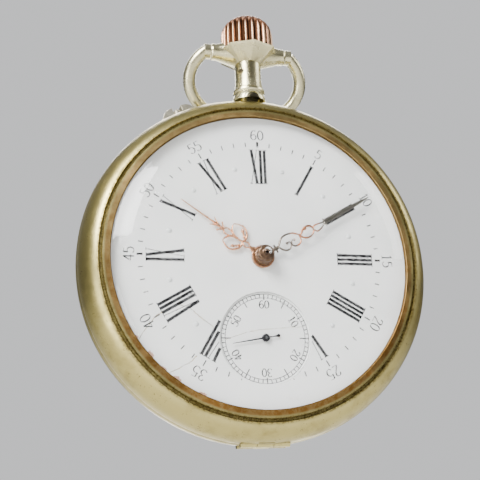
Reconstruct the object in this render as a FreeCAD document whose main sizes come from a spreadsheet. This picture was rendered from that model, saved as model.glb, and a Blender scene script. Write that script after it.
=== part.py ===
import FreeCAD
import Part
import Sketcher
import math
import os

# Open-faced pocket watch with a lever movement and push-piece hand setting.
# +Z points from six to twelve o'clock, the dial faces -Y, millimetres.
# A level is the distance in front of the flat outer face of the back cover.

V = FreeCAD.Vector
doc = FreeCAD.newDocument("pocket_watch")
dims = doc.addObject("Spreadsheet::Sheet", "dims")
nodes = {}


class Size:
    """A number together with the sheet expression that gives it."""

    def __init__(self, value, text=None):
        self.value = float(value)
        self.text = text if text else "%.6f" % self.value

    def __add__(self, other):
        other = as_size(other)
        return Size(self.value + other.value, "(%s + %s)" % (self.text, other.text))

    def __sub__(self, other):
        other = as_size(other)
        return Size(self.value - other.value, "(%s - %s)" % (self.text, other.text))

    def __mul__(self, other):
        other = as_size(other)
        return Size(self.value * other.value, "(%s * %s)" % (self.text, other.text))

    def __truediv__(self, other):
        other = as_size(other)
        return Size(self.value / other.value, "(%s / %s)" % (self.text, other.text))

    def __neg__(self):
        return Size(-self.value, "(0 - %s)" % self.text)

    def __radd__(self, other):
        return as_size(other) + self

    def __rsub__(self, other):
        return as_size(other) - self

    def __rmul__(self, other):
        return as_size(other) * self


def as_size(number):
    return number if isinstance(number, Size) else Size(number)


def root(square):
    return Size(math.sqrt(square.value), "sqrt(%s)" % square.text)


def size(name, value, meaning):
    """Write one driving size to the sheet and return it."""
    row = 1
    while dims.getContents("A%d" % row):
        row += 1
    dims.set("A%d" % row, meaning)
    dims.set("B%d" % row, str(value))
    dims.setAlias("B%d" % row, name)
    return Size(value, "dims." + name)


# Case, radii about the hands' axis
case_radius = size("case_radius", 25.0, "outer radius where the bezel meets the band")
bulge = size("bulge", 0.15, "how far the band swells past the joints")
bezel_width = size("bezel_width", 4.2, "bezel opening to case radius")
collar_inset = size("collar_inset", 1.6, "case radius to the collars the covers snap over")
snap_gap = size("snap_gap", 0.1, "radial clearance between a cover and its collar")
back_flat = size("back_flat", 14.0, "radius of the flat on the back cover")
cover_wall = size("cover_wall", 0.5, "wall of the back cover")
cuvette_wall = size("cuvette_wall", 0.3, "wall of the inner dust cover")
cuvette_inset = size("cuvette_inset", 2.6, "case radius to the dust cover rim")
# Levels in front of the back face
cuvette_level = size("cuvette_level", 1.1, "outer face of the dust cover")
back_joint = size("back_joint", 4.0, "joint between back cover and band")
bezel_joint = size("bezel_joint", 6.2, "joint between band and bezel")
back_collar = size("back_collar", 1.1, "height of the rear collar")
front_collar = size("front_collar", 1.8, "height of the front collar")
bridge_level = size("bridge_level", 2.9, "outer face of the bridges")
plate_level = size("plate_level", 5.9, "inner face of the mainplate")
plate_thick = size("plate_thick", 1.4, "thickness of the mainplate")
dial_back = size("dial_back", 8.4, "back of the dial")
dial_thick = size("dial_thick", 0.8, "thickness of the dial")
bezel_rise = size("bezel_rise", 1.1, "bezel opening in front of the dial face")
stem_level = size("stem_level", 6.0, "axis of the winding stem")
# Dial, glass and movement
dial_overlap = size("dial_overlap", 0.2, "dial edge hidden by the bezel")
dial_gap = size("dial_gap", 0.2, "clearance around the dial and movement")
plate_inset = size("plate_inset", 0.7, "dial radius to movement radius")
flange_thick = size("flange_thick", 0.4, "flange of the mainplate on its ledge")
seconds_radius = size("seconds_radius", 6.3, "radius of the sunk seconds dial")
seconds_sink = size("seconds_sink", 0.3, "depth of the seconds dial")
dial_bore = size("dial_bore", 1.55, "hole of the dial for the hour pipe")
glass_thick = size("glass_thick", 0.8, "thickness of the glass")
glass_rise = size("glass_rise", 2.2, "rise of the domed glass at its centre")
glass_seat = size("glass_seat", 0.4, "depth of the glass in the bezel groove")
# Hinges
hinge_inset = size("hinge_inset", 0.3, "hinge axis inside the case radius")
knuckle_radius = size("knuckle_radius", 0.6, "radius of a hinge knuckle")
knuckle_width = size("knuckle_width", 2.2, "width of one knuckle")
knuckle_gap = size("knuckle_gap", 0.08, "clearance around a knuckle")
hinge_pin = size("hinge_pin", 0.28, "radius of a hinge pin")
fit = size("fit", 0.03, "radial running clearance")
# Pendant, crown and bow
spigot_radius = size("spigot_radius", 1.7, "spigot of the pendant in the band")
neck_base = size("neck_base", 2.5, "radius at the foot of the neck")
neck_top = size("neck_top", 2.0, "radius at the top of the neck")
neck_length = size("neck_length", 6.3, "band to the pendant head")
head_radius = size("head_radius", 2.3, "radius at the middle of the pendant head")
head_end = size("head_end", 1.25, "radius at the ends of the pendant head")
head_half = size("head_half", 5.75, "half length of the pendant head")
head_rise = size("head_rise", 8.6, "case radius to the axis of the pendant head")
crown_radius = size("crown_radius", 4.0, "radius of the crown")
crown_height = size("crown_height", 6.1, "height of the crown")
crown_sink = size("crown_sink", 0.2, "crown base below the axis of the pendant head")
crown_room = size("crown_room", 0.12, "gap around the crown in the pendant cup")
cup_wall = size("cup_wall", 0.28, "thinnest wall of the faceted cup under the crown")
cup_rise = size("cup_rise", 0.1, "crown base to the rim of the cup")
crown_gap = size("crown_gap", 0.15, "gap between crown and pendant")
crown_flutes = size("crown_flutes", 24, "flutes around the crown")
flute_radius = size("flute_radius", 0.32, "radius of one flute")
stem_radius = size("stem_radius", 0.6, "radius of the winding stem")
bow_wire = size("bow_wire", 0.95, "radius of the bow wire")
bow_half = size("bow_half", 8.8, "half width of the bow centreline")
bow_reach = size("bow_reach", 6.3, "half length of the bow ellipse")
bow_centre = size("bow_centre", 4.2, "bow pivots to the middle of its ellipse")
bow_tilt = size("bow_tilt", 28.6, "tilt of the hanging bow behind the watch, degrees")
bow_pin = size("bow_pin", 0.45, "radius of the bow pivots")
push_angle = size("push_angle", 25.0, "push piece before twelve o'clock, degrees")
push_radius = size("push_radius", 0.55, "radius of the push piece")
push_travel = size("push_travel", 0.5, "stroke of the push piece")
guard_half = size("guard_half", 2.8, "half length of the guard beside the push piece")
guard_height = size("guard_height", 1.2, "height of the guard above the band")
# Going train: teeth, leaves and modules
seconds_drop = size("seconds_drop", 11.2, "hands' axis to the seconds axis")
barrel_teeth = size("barrel_teeth", 80, "teeth of the barrel")
centre_leaves = size("centre_leaves", 10, "leaves of the centre pinion")
barrel_module = size("barrel_module", 0.2, "module of barrel and centre pinion")
centre_teeth = size("centre_teeth", 64, "teeth of the centre wheel")
third_leaves = size("third_leaves", 8, "leaves of the third pinion")
centre_module = size("centre_module", 0.23, "module of centre wheel and third pinion")
third_teeth = size("third_teeth", 60, "teeth of the third wheel")
fourth_leaves = size("fourth_leaves", 8, "leaves of the fourth pinion")
third_module = size("third_module", 0.18, "module of third wheel and fourth pinion")
fourth_teeth = size("fourth_teeth", 70, "teeth of the fourth wheel")
escape_leaves = size("escape_leaves", 7, "leaves of the escape pinion")
fourth_module = size("fourth_module", 0.15, "module of fourth wheel and escape pinion")
escape_radius = size("escape_radius", 3.4, "radius of the escape wheel")
barrel_swing = size("barrel_swing", 39.7, "barrel from twelve o'clock, degrees")
escape_swing = size("escape_swing", 15.0, "escape wheel below the seconds axis, degrees")
lever_swing = size("lever_swing", 60.5, "line from escape wheel to balance, degrees")
pallet_ratio = size("pallet_ratio", 1.156, "escape to pallet centre over escape radius")
lever_length = size("lever_length", 5.15, "pallet centre to balance centre")
balance_radius = size("balance_radius", 7.0, "outer radius of the balance rim")
wheel_thick = size("wheel_thick", 0.2, "thickness of the train wheels")
# Motion work and winding
cannon_leaves = size("cannon_leaves", 12, "leaves of the cannon pinion")
minute_teeth = size("minute_teeth", 36, "teeth of the minute and setting wheels")
motion_module = size("motion_module", 0.2, "module of cannon pinion and minute wheel")
minute_leaves = size("minute_leaves", 10, "leaves of the minute pinion")
hour_teeth = size("hour_teeth", 40, "teeth of the hour wheel")
setting_height = size("setting_height", 10.6, "hands' axis to the setting wheel")
ratchet_teeth = size("ratchet_teeth", 50, "teeth of the ratchet wheel")
crown_teeth = size("crown_teeth", 32, "upper teeth of the crown wheel")
winding_module = size("winding_module", 0.25, "module of ratchet and crown wheel")
face_teeth = size("face_teeth", 18, "face teeth under the crown wheel")
winding_leaves = size("winding_leaves", 14, "teeth of the winding pinion")
face_module = size("face_module", 0.3, "module of winding pinion and face teeth")
pivot = size("pivot", 0.14, "radius of the train pivots")
arbor = size("arbor", 0.42, "radius of the train arbors")
# Hands
hour_length = size("hour_length", 13.8, "hands' axis to the tip of the hour hand")
minute_length = size("minute_length", 18.4, "hands' axis to the tip of the minute hand")
seconds_length = size("seconds_length", 4.7, "seconds axis to the tip of the hand")
hand_thick = size("hand_thick", 0.18, "thickness of the hands")
cap_radius = size("cap_radius", 1.2, "radius of the cap on the minute hand")
cap_height = size("cap_height", 1.3, "height of the cap above the minute hand")
doc.recompute()

# Derived places
plate_front = plate_level + plate_thick
dial_face = dial_back + dial_thick
bezel_top = dial_face + bezel_rise
opening = case_radius - bezel_width
dial_radius = opening + dial_overlap
seat_radius = dial_radius + dial_gap
plate_radius = dial_radius - plate_inset
roof = bridge_level + 1.0
hinge_drop = case_radius - hinge_inset
head_axis = case_radius + head_rise
crown_base = head_axis - crown_sink
winding_radius = winding_leaves * face_module / 2
push_inner = case_radius - 6.0


def sin(angle):
    return Size(math.sin(math.radians(angle.value)), "sin(%s)" % angle.text)


def cos(angle):
    return Size(math.cos(math.radians(angle.value)), "cos(%s)" % angle.text)


centre_at = (Size(0), Size(0))
fourth_at = (Size(0), -seconds_drop)
centre_third = (centre_teeth + third_leaves) * centre_module / 2
third_fourth = (third_teeth + fourth_leaves) * third_module / 2
third_down = (centre_third * centre_third + seconds_drop * seconds_drop
              - third_fourth * third_fourth) / (2 * seconds_drop)
third_at = (-root(centre_third * centre_third - third_down * third_down), -third_down)
barrel_centre = (barrel_teeth + centre_leaves) * barrel_module / 2
barrel_at = (-barrel_centre * sin(barrel_swing), barrel_centre * cos(barrel_swing))
fourth_escape = (fourth_teeth + escape_leaves) * fourth_module / 2
escape_at = (fourth_escape * cos(escape_swing),
             -seconds_drop - fourth_escape * sin(escape_swing))
pallet_reach = escape_radius * pallet_ratio
pallet_at = (escape_at[0] + pallet_reach * cos(lever_swing),
             escape_at[1] + pallet_reach * sin(lever_swing))
balance_at = (pallet_at[0] + lever_length * cos(lever_swing),
              pallet_at[1] + lever_length * sin(lever_swing))
winding_sum = (ratchet_teeth + crown_teeth) * winding_module / 2
crown_wheel_at = (Size(0), barrel_at[1]
                  + root(winding_sum * winding_sum - barrel_at[0] * barrel_at[0]))
motion_reach = (cannon_leaves + minute_teeth) * motion_module / 2
hour_module = 2 * motion_reach / (minute_leaves + hour_teeth)
setting_reach = minute_teeth * motion_module
minute_up = (motion_reach * motion_reach + setting_height * setting_height
             - setting_reach * setting_reach) / (2 * setting_height)
minute_at = (root(motion_reach * motion_reach - minute_up * minute_up), minute_up)
setting_at = (Size(0), setting_height)
lever_at = (Size(-11.5), Size(13.5))


# PartDesign helpers: every coordinate is pinned by an expression of the sheet
def bind(thing, prop, number):
    thing.setExpression(prop, as_size(number).text)


def new_body(name, place=None, level=None):
    body = doc.addObject("PartDesign::Body", name)
    body.Label = name
    if place:
        bind(body, "Placement.Base.x", place[0])
        bind(body, "Placement.Base.z", place[1])
    if level is not None:
        bind(body, "Placement.Base.y", -level)
    nodes[name] = body
    return body


def new_sketch(body, plane, level=None):
    sketch = body.newObject("Sketcher::SketchObject", body.Name + "_sketch")
    origin = [f for f in body.Origin.OriginFeatures if f.Role == plane][0]
    sketch.AttachmentSupport = [(origin, "")]
    sketch.MapMode = "FlatFace"
    if level is not None:
        bind(sketch, "AttachmentOffset.Base.z", level)
    return sketch


def pin_down(sketch, item, point, x, y):
    for kind, axis, number in (("DistanceX", -2, x), ("DistanceY", -1, y)):
        if number.value == 0.0:
            sketch.addConstraint(Sketcher.Constraint("PointOnObject", item, point, axis))
        else:
            made = sketch.addConstraint(
                Sketcher.Constraint(kind, -1, 1, item, point, number.value))
            sketch.setExpression("Constraints[%d]" % made, number.text)


def draw_outline(sketch, points):
    points = [(as_size(x), as_size(y)) for x, y in points]
    first = sketch.GeometryCount
    count = len(points)
    for k in range(count):
        here = points[k]
        there = points[(k + 1) % count]
        sketch.addGeometry(Part.LineSegment(V(here[0].value, here[1].value, 0),
                                            V(there[0].value, there[1].value, 0)))
    for k in range(count):
        follower = first + (k + 1) % count
        sketch.addConstraint(Sketcher.Constraint("Coincident", first + k, 2, follower, 1))
    for k in range(count):
        pin_down(sketch, first + k, 1, points[k][0], points[k][1])


def draw_circle(sketch, x, y, radius):
    x = as_size(x)
    y = as_size(y)
    radius = as_size(radius)
    item = sketch.addGeometry(Part.Circle(V(x.value, y.value, 0), V(0, 0, 1), radius.value))
    made = sketch.addConstraint(Sketcher.Constraint("Radius", item, radius.value))
    sketch.setExpression("Constraints[%d]" % made, radius.text)
    pin_down(sketch, item, 3, x, y)


def spin(body, points, axis="V_Axis", plane="XY_Plane", cut=False):
    """Turn a closed outline about one axis of its sketch."""
    sketch = new_sketch(body, plane)
    draw_outline(sketch, points)
    kind = "PartDesign::Groove" if cut else "PartDesign::Revolution"
    feature = body.newObject(kind, body.Name + "_turned")
    feature.Profile = sketch
    feature.ReferenceAxis = (sketch, [axis])
    feature.Angle = 360
    return feature


def lathe(name, points, place=None):
    """Body turned about the hands' axis direction from (radius, level) points."""
    body = new_body(name, place)
    spin(body, [(r, -as_size(level)) for r, level in points])
    return body


def slab(body, level, depth, outline=None, circles=(), cut=False, forward=None):
    """Pad forwards or pocket backwards from a level, or the way that is stated."""
    sketch = new_sketch(body, "XZ_Plane", as_size(level))
    if outline:
        draw_outline(sketch, outline)
    for x, z, radius in circles:
        draw_circle(sketch, x, z, radius)
    kind = "PartDesign::Pocket" if cut else "PartDesign::Pad"
    feature = body.newObject(kind, body.Name + "_slab")
    feature.Profile = sketch
    feature.Length = as_size(depth).value
    bind(feature, "Length", depth)
    feature.Reversed = bool(forward) if cut else forward is False
    return feature


def box_outline(x0, x1, z0, z1):
    return [(x0, z0), (x1, z0), (x1, z1), (x0, z1)]


# Own shapes: toothed wheels, springs and hands, set in one place for each node
def keep(name, shape, place=None):
    feature = doc.addObject("Part::Feature", name)
    feature.Label = name
    feature.Shape = shape
    if place:
        bind(feature, "Placement.Base.x", place[0])
        bind(feature, "Placement.Base.z", place[1])
    nodes[name] = feature
    return feature


def num(number):
    return as_size(number).value


def prism(points, low, high):
    """Solid between two levels over a closed outline of (x, z) points."""
    corners = [V(x, -num(low), z) for x, z in points]
    face = Part.Face(Part.makePolygon(corners + [corners[0]]))
    return face.extrude(V(0, num(low) - num(high), 0))


def disc(radius, low, high, x=0.0, z=0.0):
    base = V(num(x), -num(high), num(z))
    return Part.makeCylinder(num(radius), num(high) - num(low), base, V(0, 1, 0))


def polar(radius, angle, x=0.0, z=0.0):
    turn = math.radians(angle)
    return (x + radius * math.cos(turn), z + radius * math.sin(turn))


def toothed(teeth, module, phase, low, high):
    """Toothed prism; phase is the angle of one tooth from +X towards +Z."""
    count = int(num(teeth))
    pitch = 360.0 / count
    middle = count * num(module) / 2
    tip = middle + 0.8 * num(module)
    foot = middle - 1.15 * num(module)
    points = []
    for k in range(count):
        angle = phase + k * pitch
        points.append(polar(foot, angle - 0.27 * pitch))
        points.append(polar(tip, angle - 0.10 * pitch))
        points.append(polar(tip, angle + 0.10 * pitch))
        points.append(polar(foot, angle + 0.27 * pitch))
    return prism(points, low, high)


def mesh_phase(phase, teeth, here, there, other_teeth):
    """Phase that puts a gap of the second wheel on a tooth of the first."""
    line = math.degrees(math.atan2(num(there[1]) - num(here[1]),
                                   num(there[0]) - num(here[0])))
    pitch = 360.0 / num(teeth)
    share = ((phase - line) / pitch) % 1.0
    return line + 180.0 + 360.0 / num(other_teeth) * (0.5 - share)


def crossed(shape, rim, hub, arms, low, high):
    """Cut the openings between the arms of a wheel."""
    step = 360.0 / arms
    width = 0.14 * rim
    for k in range(arms):
        points = []
        for radius, way in ((rim, 1), (hub, -1)):
            span = step - math.degrees(width / radius)
            for j in range(9):
                points.append(polar(radius, k * step + way * span * (j / 8.0 - 0.5)))
        shape = shape.cut(prism(points, num(low) - 0.1, num(high) + 0.1))
    return shape


def band(path, widths):
    """Closed outline of a strip of varying width along a path."""
    left = []
    right = []
    for k in range(len(path)):
        before = path[max(k - 1, 0)]
        after = path[min(k + 1, len(path) - 1)]
        dx = after[0] - before[0]
        dz = after[1] - before[1]
        length = math.hypot(dx, dz)
        half = widths[k] / 2.0
        left.append((path[k][0] - dz / length * half, path[k][1] + dx / length * half))
        right.append((path[k][0] + dz / length * half, path[k][1] - dx / length * half))
    return left + right[::-1]


def curl(x, z, radius, start, end, width, tip_width=None):
    """Strip along an arc of a circle, as an outline."""
    count = max(6, int(abs(end - start) / 15.0))
    path = [polar(radius, start + (end - start) * k / count, x, z) for k in range(count + 1)]
    last = width if tip_width is None else tip_width
    widths = [width + (last - width) * k / count for k in range(count + 1)]
    return band(path, widths)


def spiral(inner, outer, turns, thick, low, high, steps=24):
    """Flat spiral strip, wound from the inner radius to the outer one."""
    count = int(turns * steps)
    path = [polar(inner + (outer - inner) * k / count, 360.0 * k / steps)
            for k in range(count + 1)]
    return prism(band(path, [thick] * (count + 1)), low, high)


# ---------------------------------------------------------------- case
collar = case_radius - collar_inset
ledge = plate_radius + 0.1
cuvette_radius = case_radius - cuvette_inset
cuvette_ledge = back_joint - 0.5

middle = lathe("case_middle", [
    (case_radius, bezel_joint),
    (collar, bezel_joint),
    (collar, bezel_joint + front_collar),
    (seat_radius, bezel_joint + front_collar),
    (seat_radius, plate_front - flange_thick),
    (ledge, plate_front - flange_thick),
    (ledge, cuvette_ledge),
    (cuvette_radius + snap_gap, cuvette_ledge),
    (cuvette_radius + snap_gap, back_joint - back_collar),
    (collar - 0.2, back_joint - back_collar),
    (collar - 0.2, back_joint),
    (case_radius, back_joint),
    (case_radius + bulge, back_joint + 0.5),
    (case_radius + bulge, bezel_joint - 0.5)])


def drill_up(body, radius, low, high, level=None):
    """Round hole along Z on the stem axis, between two heights."""
    low = as_size(low)
    axis = -stem_level if level is None else -level
    sketch = new_sketch(body, "XY_Plane", low)
    draw_circle(sketch, 0, axis, radius)
    feature = body.newObject("PartDesign::Pocket", body.Name + "_bore")
    feature.Profile = sketch
    bind(feature, "Length", as_size(high) - low)
    feature.Reversed = True
    return feature


def across(body, level, drop, radius, x0, x1, cut=True):
    """Cylinder along X at a level and height, added or taken away."""
    sketch = new_sketch(body, "YZ_Plane", as_size(x0))
    draw_circle(sketch, -as_size(level), drop, radius)
    kind = "PartDesign::Pocket" if cut else "PartDesign::Pad"
    feature = body.newObject(kind, body.Name + "_knuckle")
    feature.Profile = sketch
    bind(feature, "Length", as_size(x1) - as_size(x0))
    feature.Reversed = cut
    return feature


drill_up(middle, spigot_radius, opening - 1.0, case_radius + 1.0)
room = knuckle_radius + knuckle_gap
side = knuckle_width / 2
for level in (bezel_joint, back_joint):
    across(middle, level, -hinge_drop, room, -side - knuckle_gap, side + knuckle_gap)
    for x0, x1 in ((-side - knuckle_gap - knuckle_width, -side - knuckle_gap),
                   (side + knuckle_gap, side + knuckle_gap + knuckle_width)):
        across(middle, level, -hinge_drop, knuckle_radius, x0, x1, cut=False)
    reach = side + knuckle_gap + knuckle_width
    across(middle, level, -hinge_drop, hinge_pin, -reach, reach)


def side_body(name, points):
    """Body turned about the push piece's own axis; heights are from the hands' axis."""
    body = new_body(name, level=push_level)
    bind(body, "Placement.Rotation.Axis.y", 1)
    bind(body, "Placement.Rotation.Axis.z", 0)
    bind(body, "Placement.Rotation.Angle", -push_angle)
    spin(body, points, plane="XZ_Plane")
    return body


push_level = (back_joint + bezel_joint) / 2
bore = push_radius + fit
push_sketch = new_sketch(middle, "XY_Plane", push_inner - 3.0)
push_sketch.AttachmentOffset = FreeCAD.Placement(V(0, 0, 0), FreeCAD.Rotation(V(0, 1, 0), 0))
bind(push_sketch, "AttachmentOffset.Rotation.Angle", -push_angle)
bind(push_sketch, "AttachmentOffset.Base.x", -(push_inner - 3.0) * sin(push_angle))
bind(push_sketch, "AttachmentOffset.Base.z", (push_inner - 3.0) * cos(push_angle))
draw_circle(push_sketch, 0, -push_level, bore)
push_hole = middle.newObject("PartDesign::Pocket", "push_hole")
push_hole.Profile = push_sketch
bind(push_hole, "Length", 12)
push_hole.Reversed = True

side_body("push_piece", [
    (0, push_inner),
    (push_radius * 0.8, push_inner),
    (push_radius, push_inner + 0.3),
    (push_radius, case_radius + 0.9),
    (push_radius * 0.7, case_radius + 1.15),
    (0, case_radius + 1.2)])

# Guard: two wings beside the push piece, sitting on the band
outer = case_radius + bulge
wings = []
for turn in (-1, 1):
    low_edge = []
    high_edge = []
    for k in range(9):
        share = k / 8.0
        along = turn * (bore.value + 0.12 + share * (guard_half.value - bore.value - 0.12))
        swell = guard_height.value * math.cos(math.radians(86.0 * share ** 1.6))
        base = math.sqrt(outer.value ** 2 - along ** 2)
        low_edge.append((along, base))
        high_edge.append((along, base + 0.12 + swell))
    wing = prism(low_edge + high_edge[::-1], push_level - 0.75, push_level + 0.75)
    wings.append(wing.cut(disc(outer, 0, bezel_top)))
guard = Part.makeCompound(wings)
guard.rotate(V(0, 0, 0), V(0, 1, 0), -push_angle.value)
keep("push_guard", guard)

bezel = lathe("bezel", [
    (case_radius, bezel_joint),
    (case_radius - 0.05, bezel_joint + 0.7),
    (case_radius - 0.3, bezel_joint + 1.6),
    (case_radius - 0.75, bezel_joint + 2.5),
    (case_radius - 1.4, bezel_joint + 3.3),
    (case_radius - 2.1, bezel_joint + 3.85),
    (case_radius - 2.55, bezel_top - 0.08),
    (case_radius - 2.7, bezel_top - 0.35),
    (opening + 1.25, bezel_top - 0.35),
    (opening + 1.1, bezel_top + 0.1),
    (opening + 0.15, bezel_top + 0.2),
    (opening, bezel_top + 0.05),
    (opening, bezel_top - 0.05),
    (opening + glass_seat, bezel_top - 0.05),
    (opening + glass_seat, bezel_top - 0.6),
    (opening, bezel_top - 0.6),
    (opening, dial_face + 0.12),
    (collar - 0.5, dial_face + 0.12),
    (collar + snap_gap, bezel_joint + front_collar + snap_gap),
    (collar + snap_gap, bezel_joint)])

back = lathe("back_cover", [
    (0, 0),
    (back_flat, 0)]
    + [(back_flat + (case_radius - 0.05 - back_flat) * Size(math.sin(math.radians(a))),
        back_joint * Size(1 - math.cos(math.radians(a)))) for a in (15, 30, 45, 60, 75)] + [
    (case_radius, back_joint),
    (collar - 0.2 + snap_gap, back_joint),
    (collar - 0.2 + snap_gap, back_joint - back_collar - snap_gap),
    (collar - 1.2, back_joint - back_collar - 0.9)]
    + [(back_flat + (case_radius - 0.05 - cover_wall - back_flat) * Size(math.sin(math.radians(a))),
        back_joint * Size(1 - math.cos(math.radians(a)))
        + cover_wall * Size(math.cos(math.radians(a)))) for a in (45, 30, 15)] + [
    (back_flat, cover_wall),
    (0, cover_wall)])

cuvette = lathe("cuvette", [
    (0, cuvette_level),
    (plate_radius - 1.9, cuvette_level),
    (plate_radius + 0.3, cuvette_level + 0.55),
    (cuvette_radius, back_joint - back_collar + 0.1),
    (cuvette_radius, cuvette_ledge),
    (cuvette_radius - 0.8, cuvette_ledge),
    (cuvette_radius - 0.8, back_joint - back_collar + 0.1),
    (plate_radius, cuvette_level + 0.55 + cuvette_wall),
    (plate_radius - 1.95, cuvette_level + cuvette_wall),
    (0, cuvette_level + cuvette_wall)])


def cover_hinge(body, level, arm_height, forward):
    """Clear the band's knuckles, then add the cover's own knuckle, arm and pin hole."""
    span = side + knuckle_gap * 2 + knuckle_width
    across(body, level, -hinge_drop, room, -span, span)
    across(body, level, -hinge_drop, knuckle_radius, -side, side, cut=False)
    foot = -hinge_drop - knuckle_radius * 0.2
    slab(body, level, arm_height, box_outline(-side, side, foot, -hinge_drop + 1.25),
         forward=forward)
    across(body, level, -hinge_drop, hinge_pin + fit, -side, side)


cover_hinge(bezel, bezel_joint, 1.3, True)
cover_hinge(back, back_joint, 0.85, False)
drill_up(bezel, spigot_radius + snap_gap, case_radius - 4, case_radius + 1.0)
notch = box_outline(-spigot_radius - snap_gap, spigot_radius + snap_gap,
                    case_radius - 1.55, case_radius + 1.0)
slab(bezel, bezel_joint + 0.35, 0.4, notch, cut=True)

for name, level in (("bezel_hinge_pin", bezel_joint), ("back_hinge_pin", back_joint)):
    pin = new_body(name)
    across(pin, level, -hinge_drop, hinge_pin, -reach, reach, cut=False)

inner_drop = cuvette_radius + 0.4
inner_level = back_joint - 0.9
inner_knuckle = (collar - cuvette_radius) * 0.4
inner_pin = inner_knuckle * 0.45
across(middle, inner_level, -inner_drop, inner_knuckle + knuckle_gap, -side - knuckle_gap,
       side + knuckle_gap)
across(middle, inner_level, -inner_drop, inner_pin, -side * 2, side * 2)
slab(cuvette, inner_level - 0.2, 0.4,
     box_outline(-side, side, -inner_drop, -cuvette_radius + 0.5))
across(cuvette, inner_level, -inner_drop, inner_knuckle, -side, side, cut=False)
across(cuvette, inner_level, -inner_drop, inner_pin + fit, -side, side)
inner_hinge = new_body("cuvette_hinge_pin")
across(inner_hinge, inner_level, -inner_drop, inner_pin, -side * 2, side * 2, cut=False)

glass_radius = opening + glass_seat - 0.02
glass_back = bezel_top - 0.58
arc = []
for k in range(13):
    share = 1.0 - k / 12.0
    arc.append((share, 1.0 - share ** 4))
lathe("crystal", [
    (0, glass_back + glass_rise)]
    + [((opening - 0.25) * Size(share), glass_back + glass_rise * Size(swell))
       for share, swell in arc[:0:-1]][1:] + [
    (opening - 0.25, glass_back),
    (glass_radius, glass_back),
    (glass_radius, bezel_top - 0.1),
    (opening - 0.02, bezel_top - 0.1),
    (opening - 0.45, glass_back + glass_thick + 0.1)]
    + [((opening - 0.5) * Size(share), glass_back + glass_thick + glass_rise * Size(swell))
       for share, swell in arc[1:-1]] + [
    (0, glass_back + glass_thick + glass_rise)])

# ------------------------------------------------- pendant, bow and crown
neck_foot = case_radius + bulge + 0.05
pendant = new_body("pendant", level=stem_level)
spin(pendant, [
    (stem_radius + fit, opening + 0.6),
    (spigot_radius, opening + 0.6),
    (spigot_radius, neck_foot),
    (neck_base, neck_foot),
    (neck_base, neck_foot + 0.5),
    (neck_base - 0.25, neck_foot + 1.3),
    (neck_base - 0.1, neck_foot + 1.55),
    (neck_base - 0.1, neck_foot + 1.85),
    (neck_base - 0.35, neck_foot + 2.1),
    (neck_top, neck_foot + neck_length * 0.55),
    (neck_top, head_axis),
    (stem_radius + fit, head_axis)], plane="XZ_Plane")
head = new_sketch(pendant, "XY_Plane", head_axis)
draw_outline(head, [
    (-head_half, 0),
    (-head_half, head_end * 0.9),
    (-head_half + 0.2, head_end),
    (-head_half + 0.9, head_end),
    (-1.9, head_radius * 0.93),
    (-1.0, head_radius),
    (1.0, head_radius),
    (1.9, head_radius * 0.93),
    (head_half - 0.9, head_end),
    (head_half - 0.2, head_end),
    (head_half, head_end * 0.9),
    (head_half, 0)])
turned = pendant.newObject("PartDesign::Revolution", "pendant_head")
turned.Profile = head
turned.ReferenceAxis = (head, ["H_Axis"])
turned.Angle = 360
cup_sides = 8
cup_across = (crown_radius + crown_room + cup_wall) / Size(math.cos(math.pi / cup_sides))
facets = []
for height, across_corners in ((crown_base + cup_rise, cup_across),
                               (head_axis - head_radius * 0.9, neck_top + 0.15)):
    corners = []
    for k in range(cup_sides):
        angle = 2 * math.pi * k / cup_sides
        corners.append((across_corners * Size(math.cos(angle)),
                        across_corners * Size(math.sin(angle))))
    facets.append(new_sketch(pendant, "XY_Plane", height))
    draw_outline(facets[-1], corners)
cup = pendant.newObject("PartDesign::AdditiveLoft", "pendant_cup")
cup.Profile = facets[0]
cup.Sections = facets[1:]
cup.Ruled = True
seat = new_sketch(pendant, "XY_Plane", crown_base - crown_gap)
draw_circle(seat, 0, 0, crown_radius + crown_room)
flat = pendant.newObject("PartDesign::Pocket", "pendant_top")
flat.Profile = seat
flat.Reversed = True
bind(flat, "Length", 3)
hole = new_sketch(pendant, "XY_Plane", neck_foot)
draw_circle(hole, 0, 0, stem_radius + fit)
bored = pendant.newObject("PartDesign::Pocket", "pendant_bore")
bored.Profile = hole
bored.Reversed = True
bind(bored, "Length", head_rise + 4)
for x0, x1 in ((-head_half, -head_half + 1.3), (head_half - 1.3, head_half)):
    socket = new_sketch(pendant, "YZ_Plane", x0)
    draw_circle(socket, 0, head_axis, bow_pin + fit)
    drilled = pendant.newObject("PartDesign::Pocket", "bow_socket")
    drilled.Profile = socket
    drilled.Reversed = True
    bind(drilled, "Length", x1 - x0)

crown = new_body("crown")
bind(crown, "Placement.Base.y", -stem_level)
spin(crown, [
    (0, crown_base + 1.2),
    (stem_radius, crown_base + 1.2),
    (stem_radius, crown_base),
    (crown_radius - 0.5, crown_base),
    (crown_radius - 0.05, crown_base + 0.35),
    (crown_radius, crown_base + 1.1),
    (crown_radius, crown_base + crown_height - 2.3),
    (crown_radius - 0.3, crown_base + crown_height - 1.5),
    (crown_radius - 1.0, crown_base + crown_height - 0.75),
    (crown_radius - 2.2, crown_base + crown_height - 0.25),
    (0, crown_base + crown_height)], plane="XZ_Plane")
flute = new_sketch(crown, "XY_Plane", crown_base)
draw_circle(flute, crown_radius + flute_radius * 0.3, 0, flute_radius)
groove = crown.newObject("PartDesign::Pocket", "flute")
groove.Profile = flute
groove.Reversed = True
bind(groove, "Length", crown_height - 1.0)
ring = crown.newObject("PartDesign::PolarPattern", "flutes")
ring.Originals = [groove]
ring.Axis = (flute, ["N_Axis"])
ring.Angle = 360
bind(ring, "Occurrences", crown_flutes)
crown.Tip = ring

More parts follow.
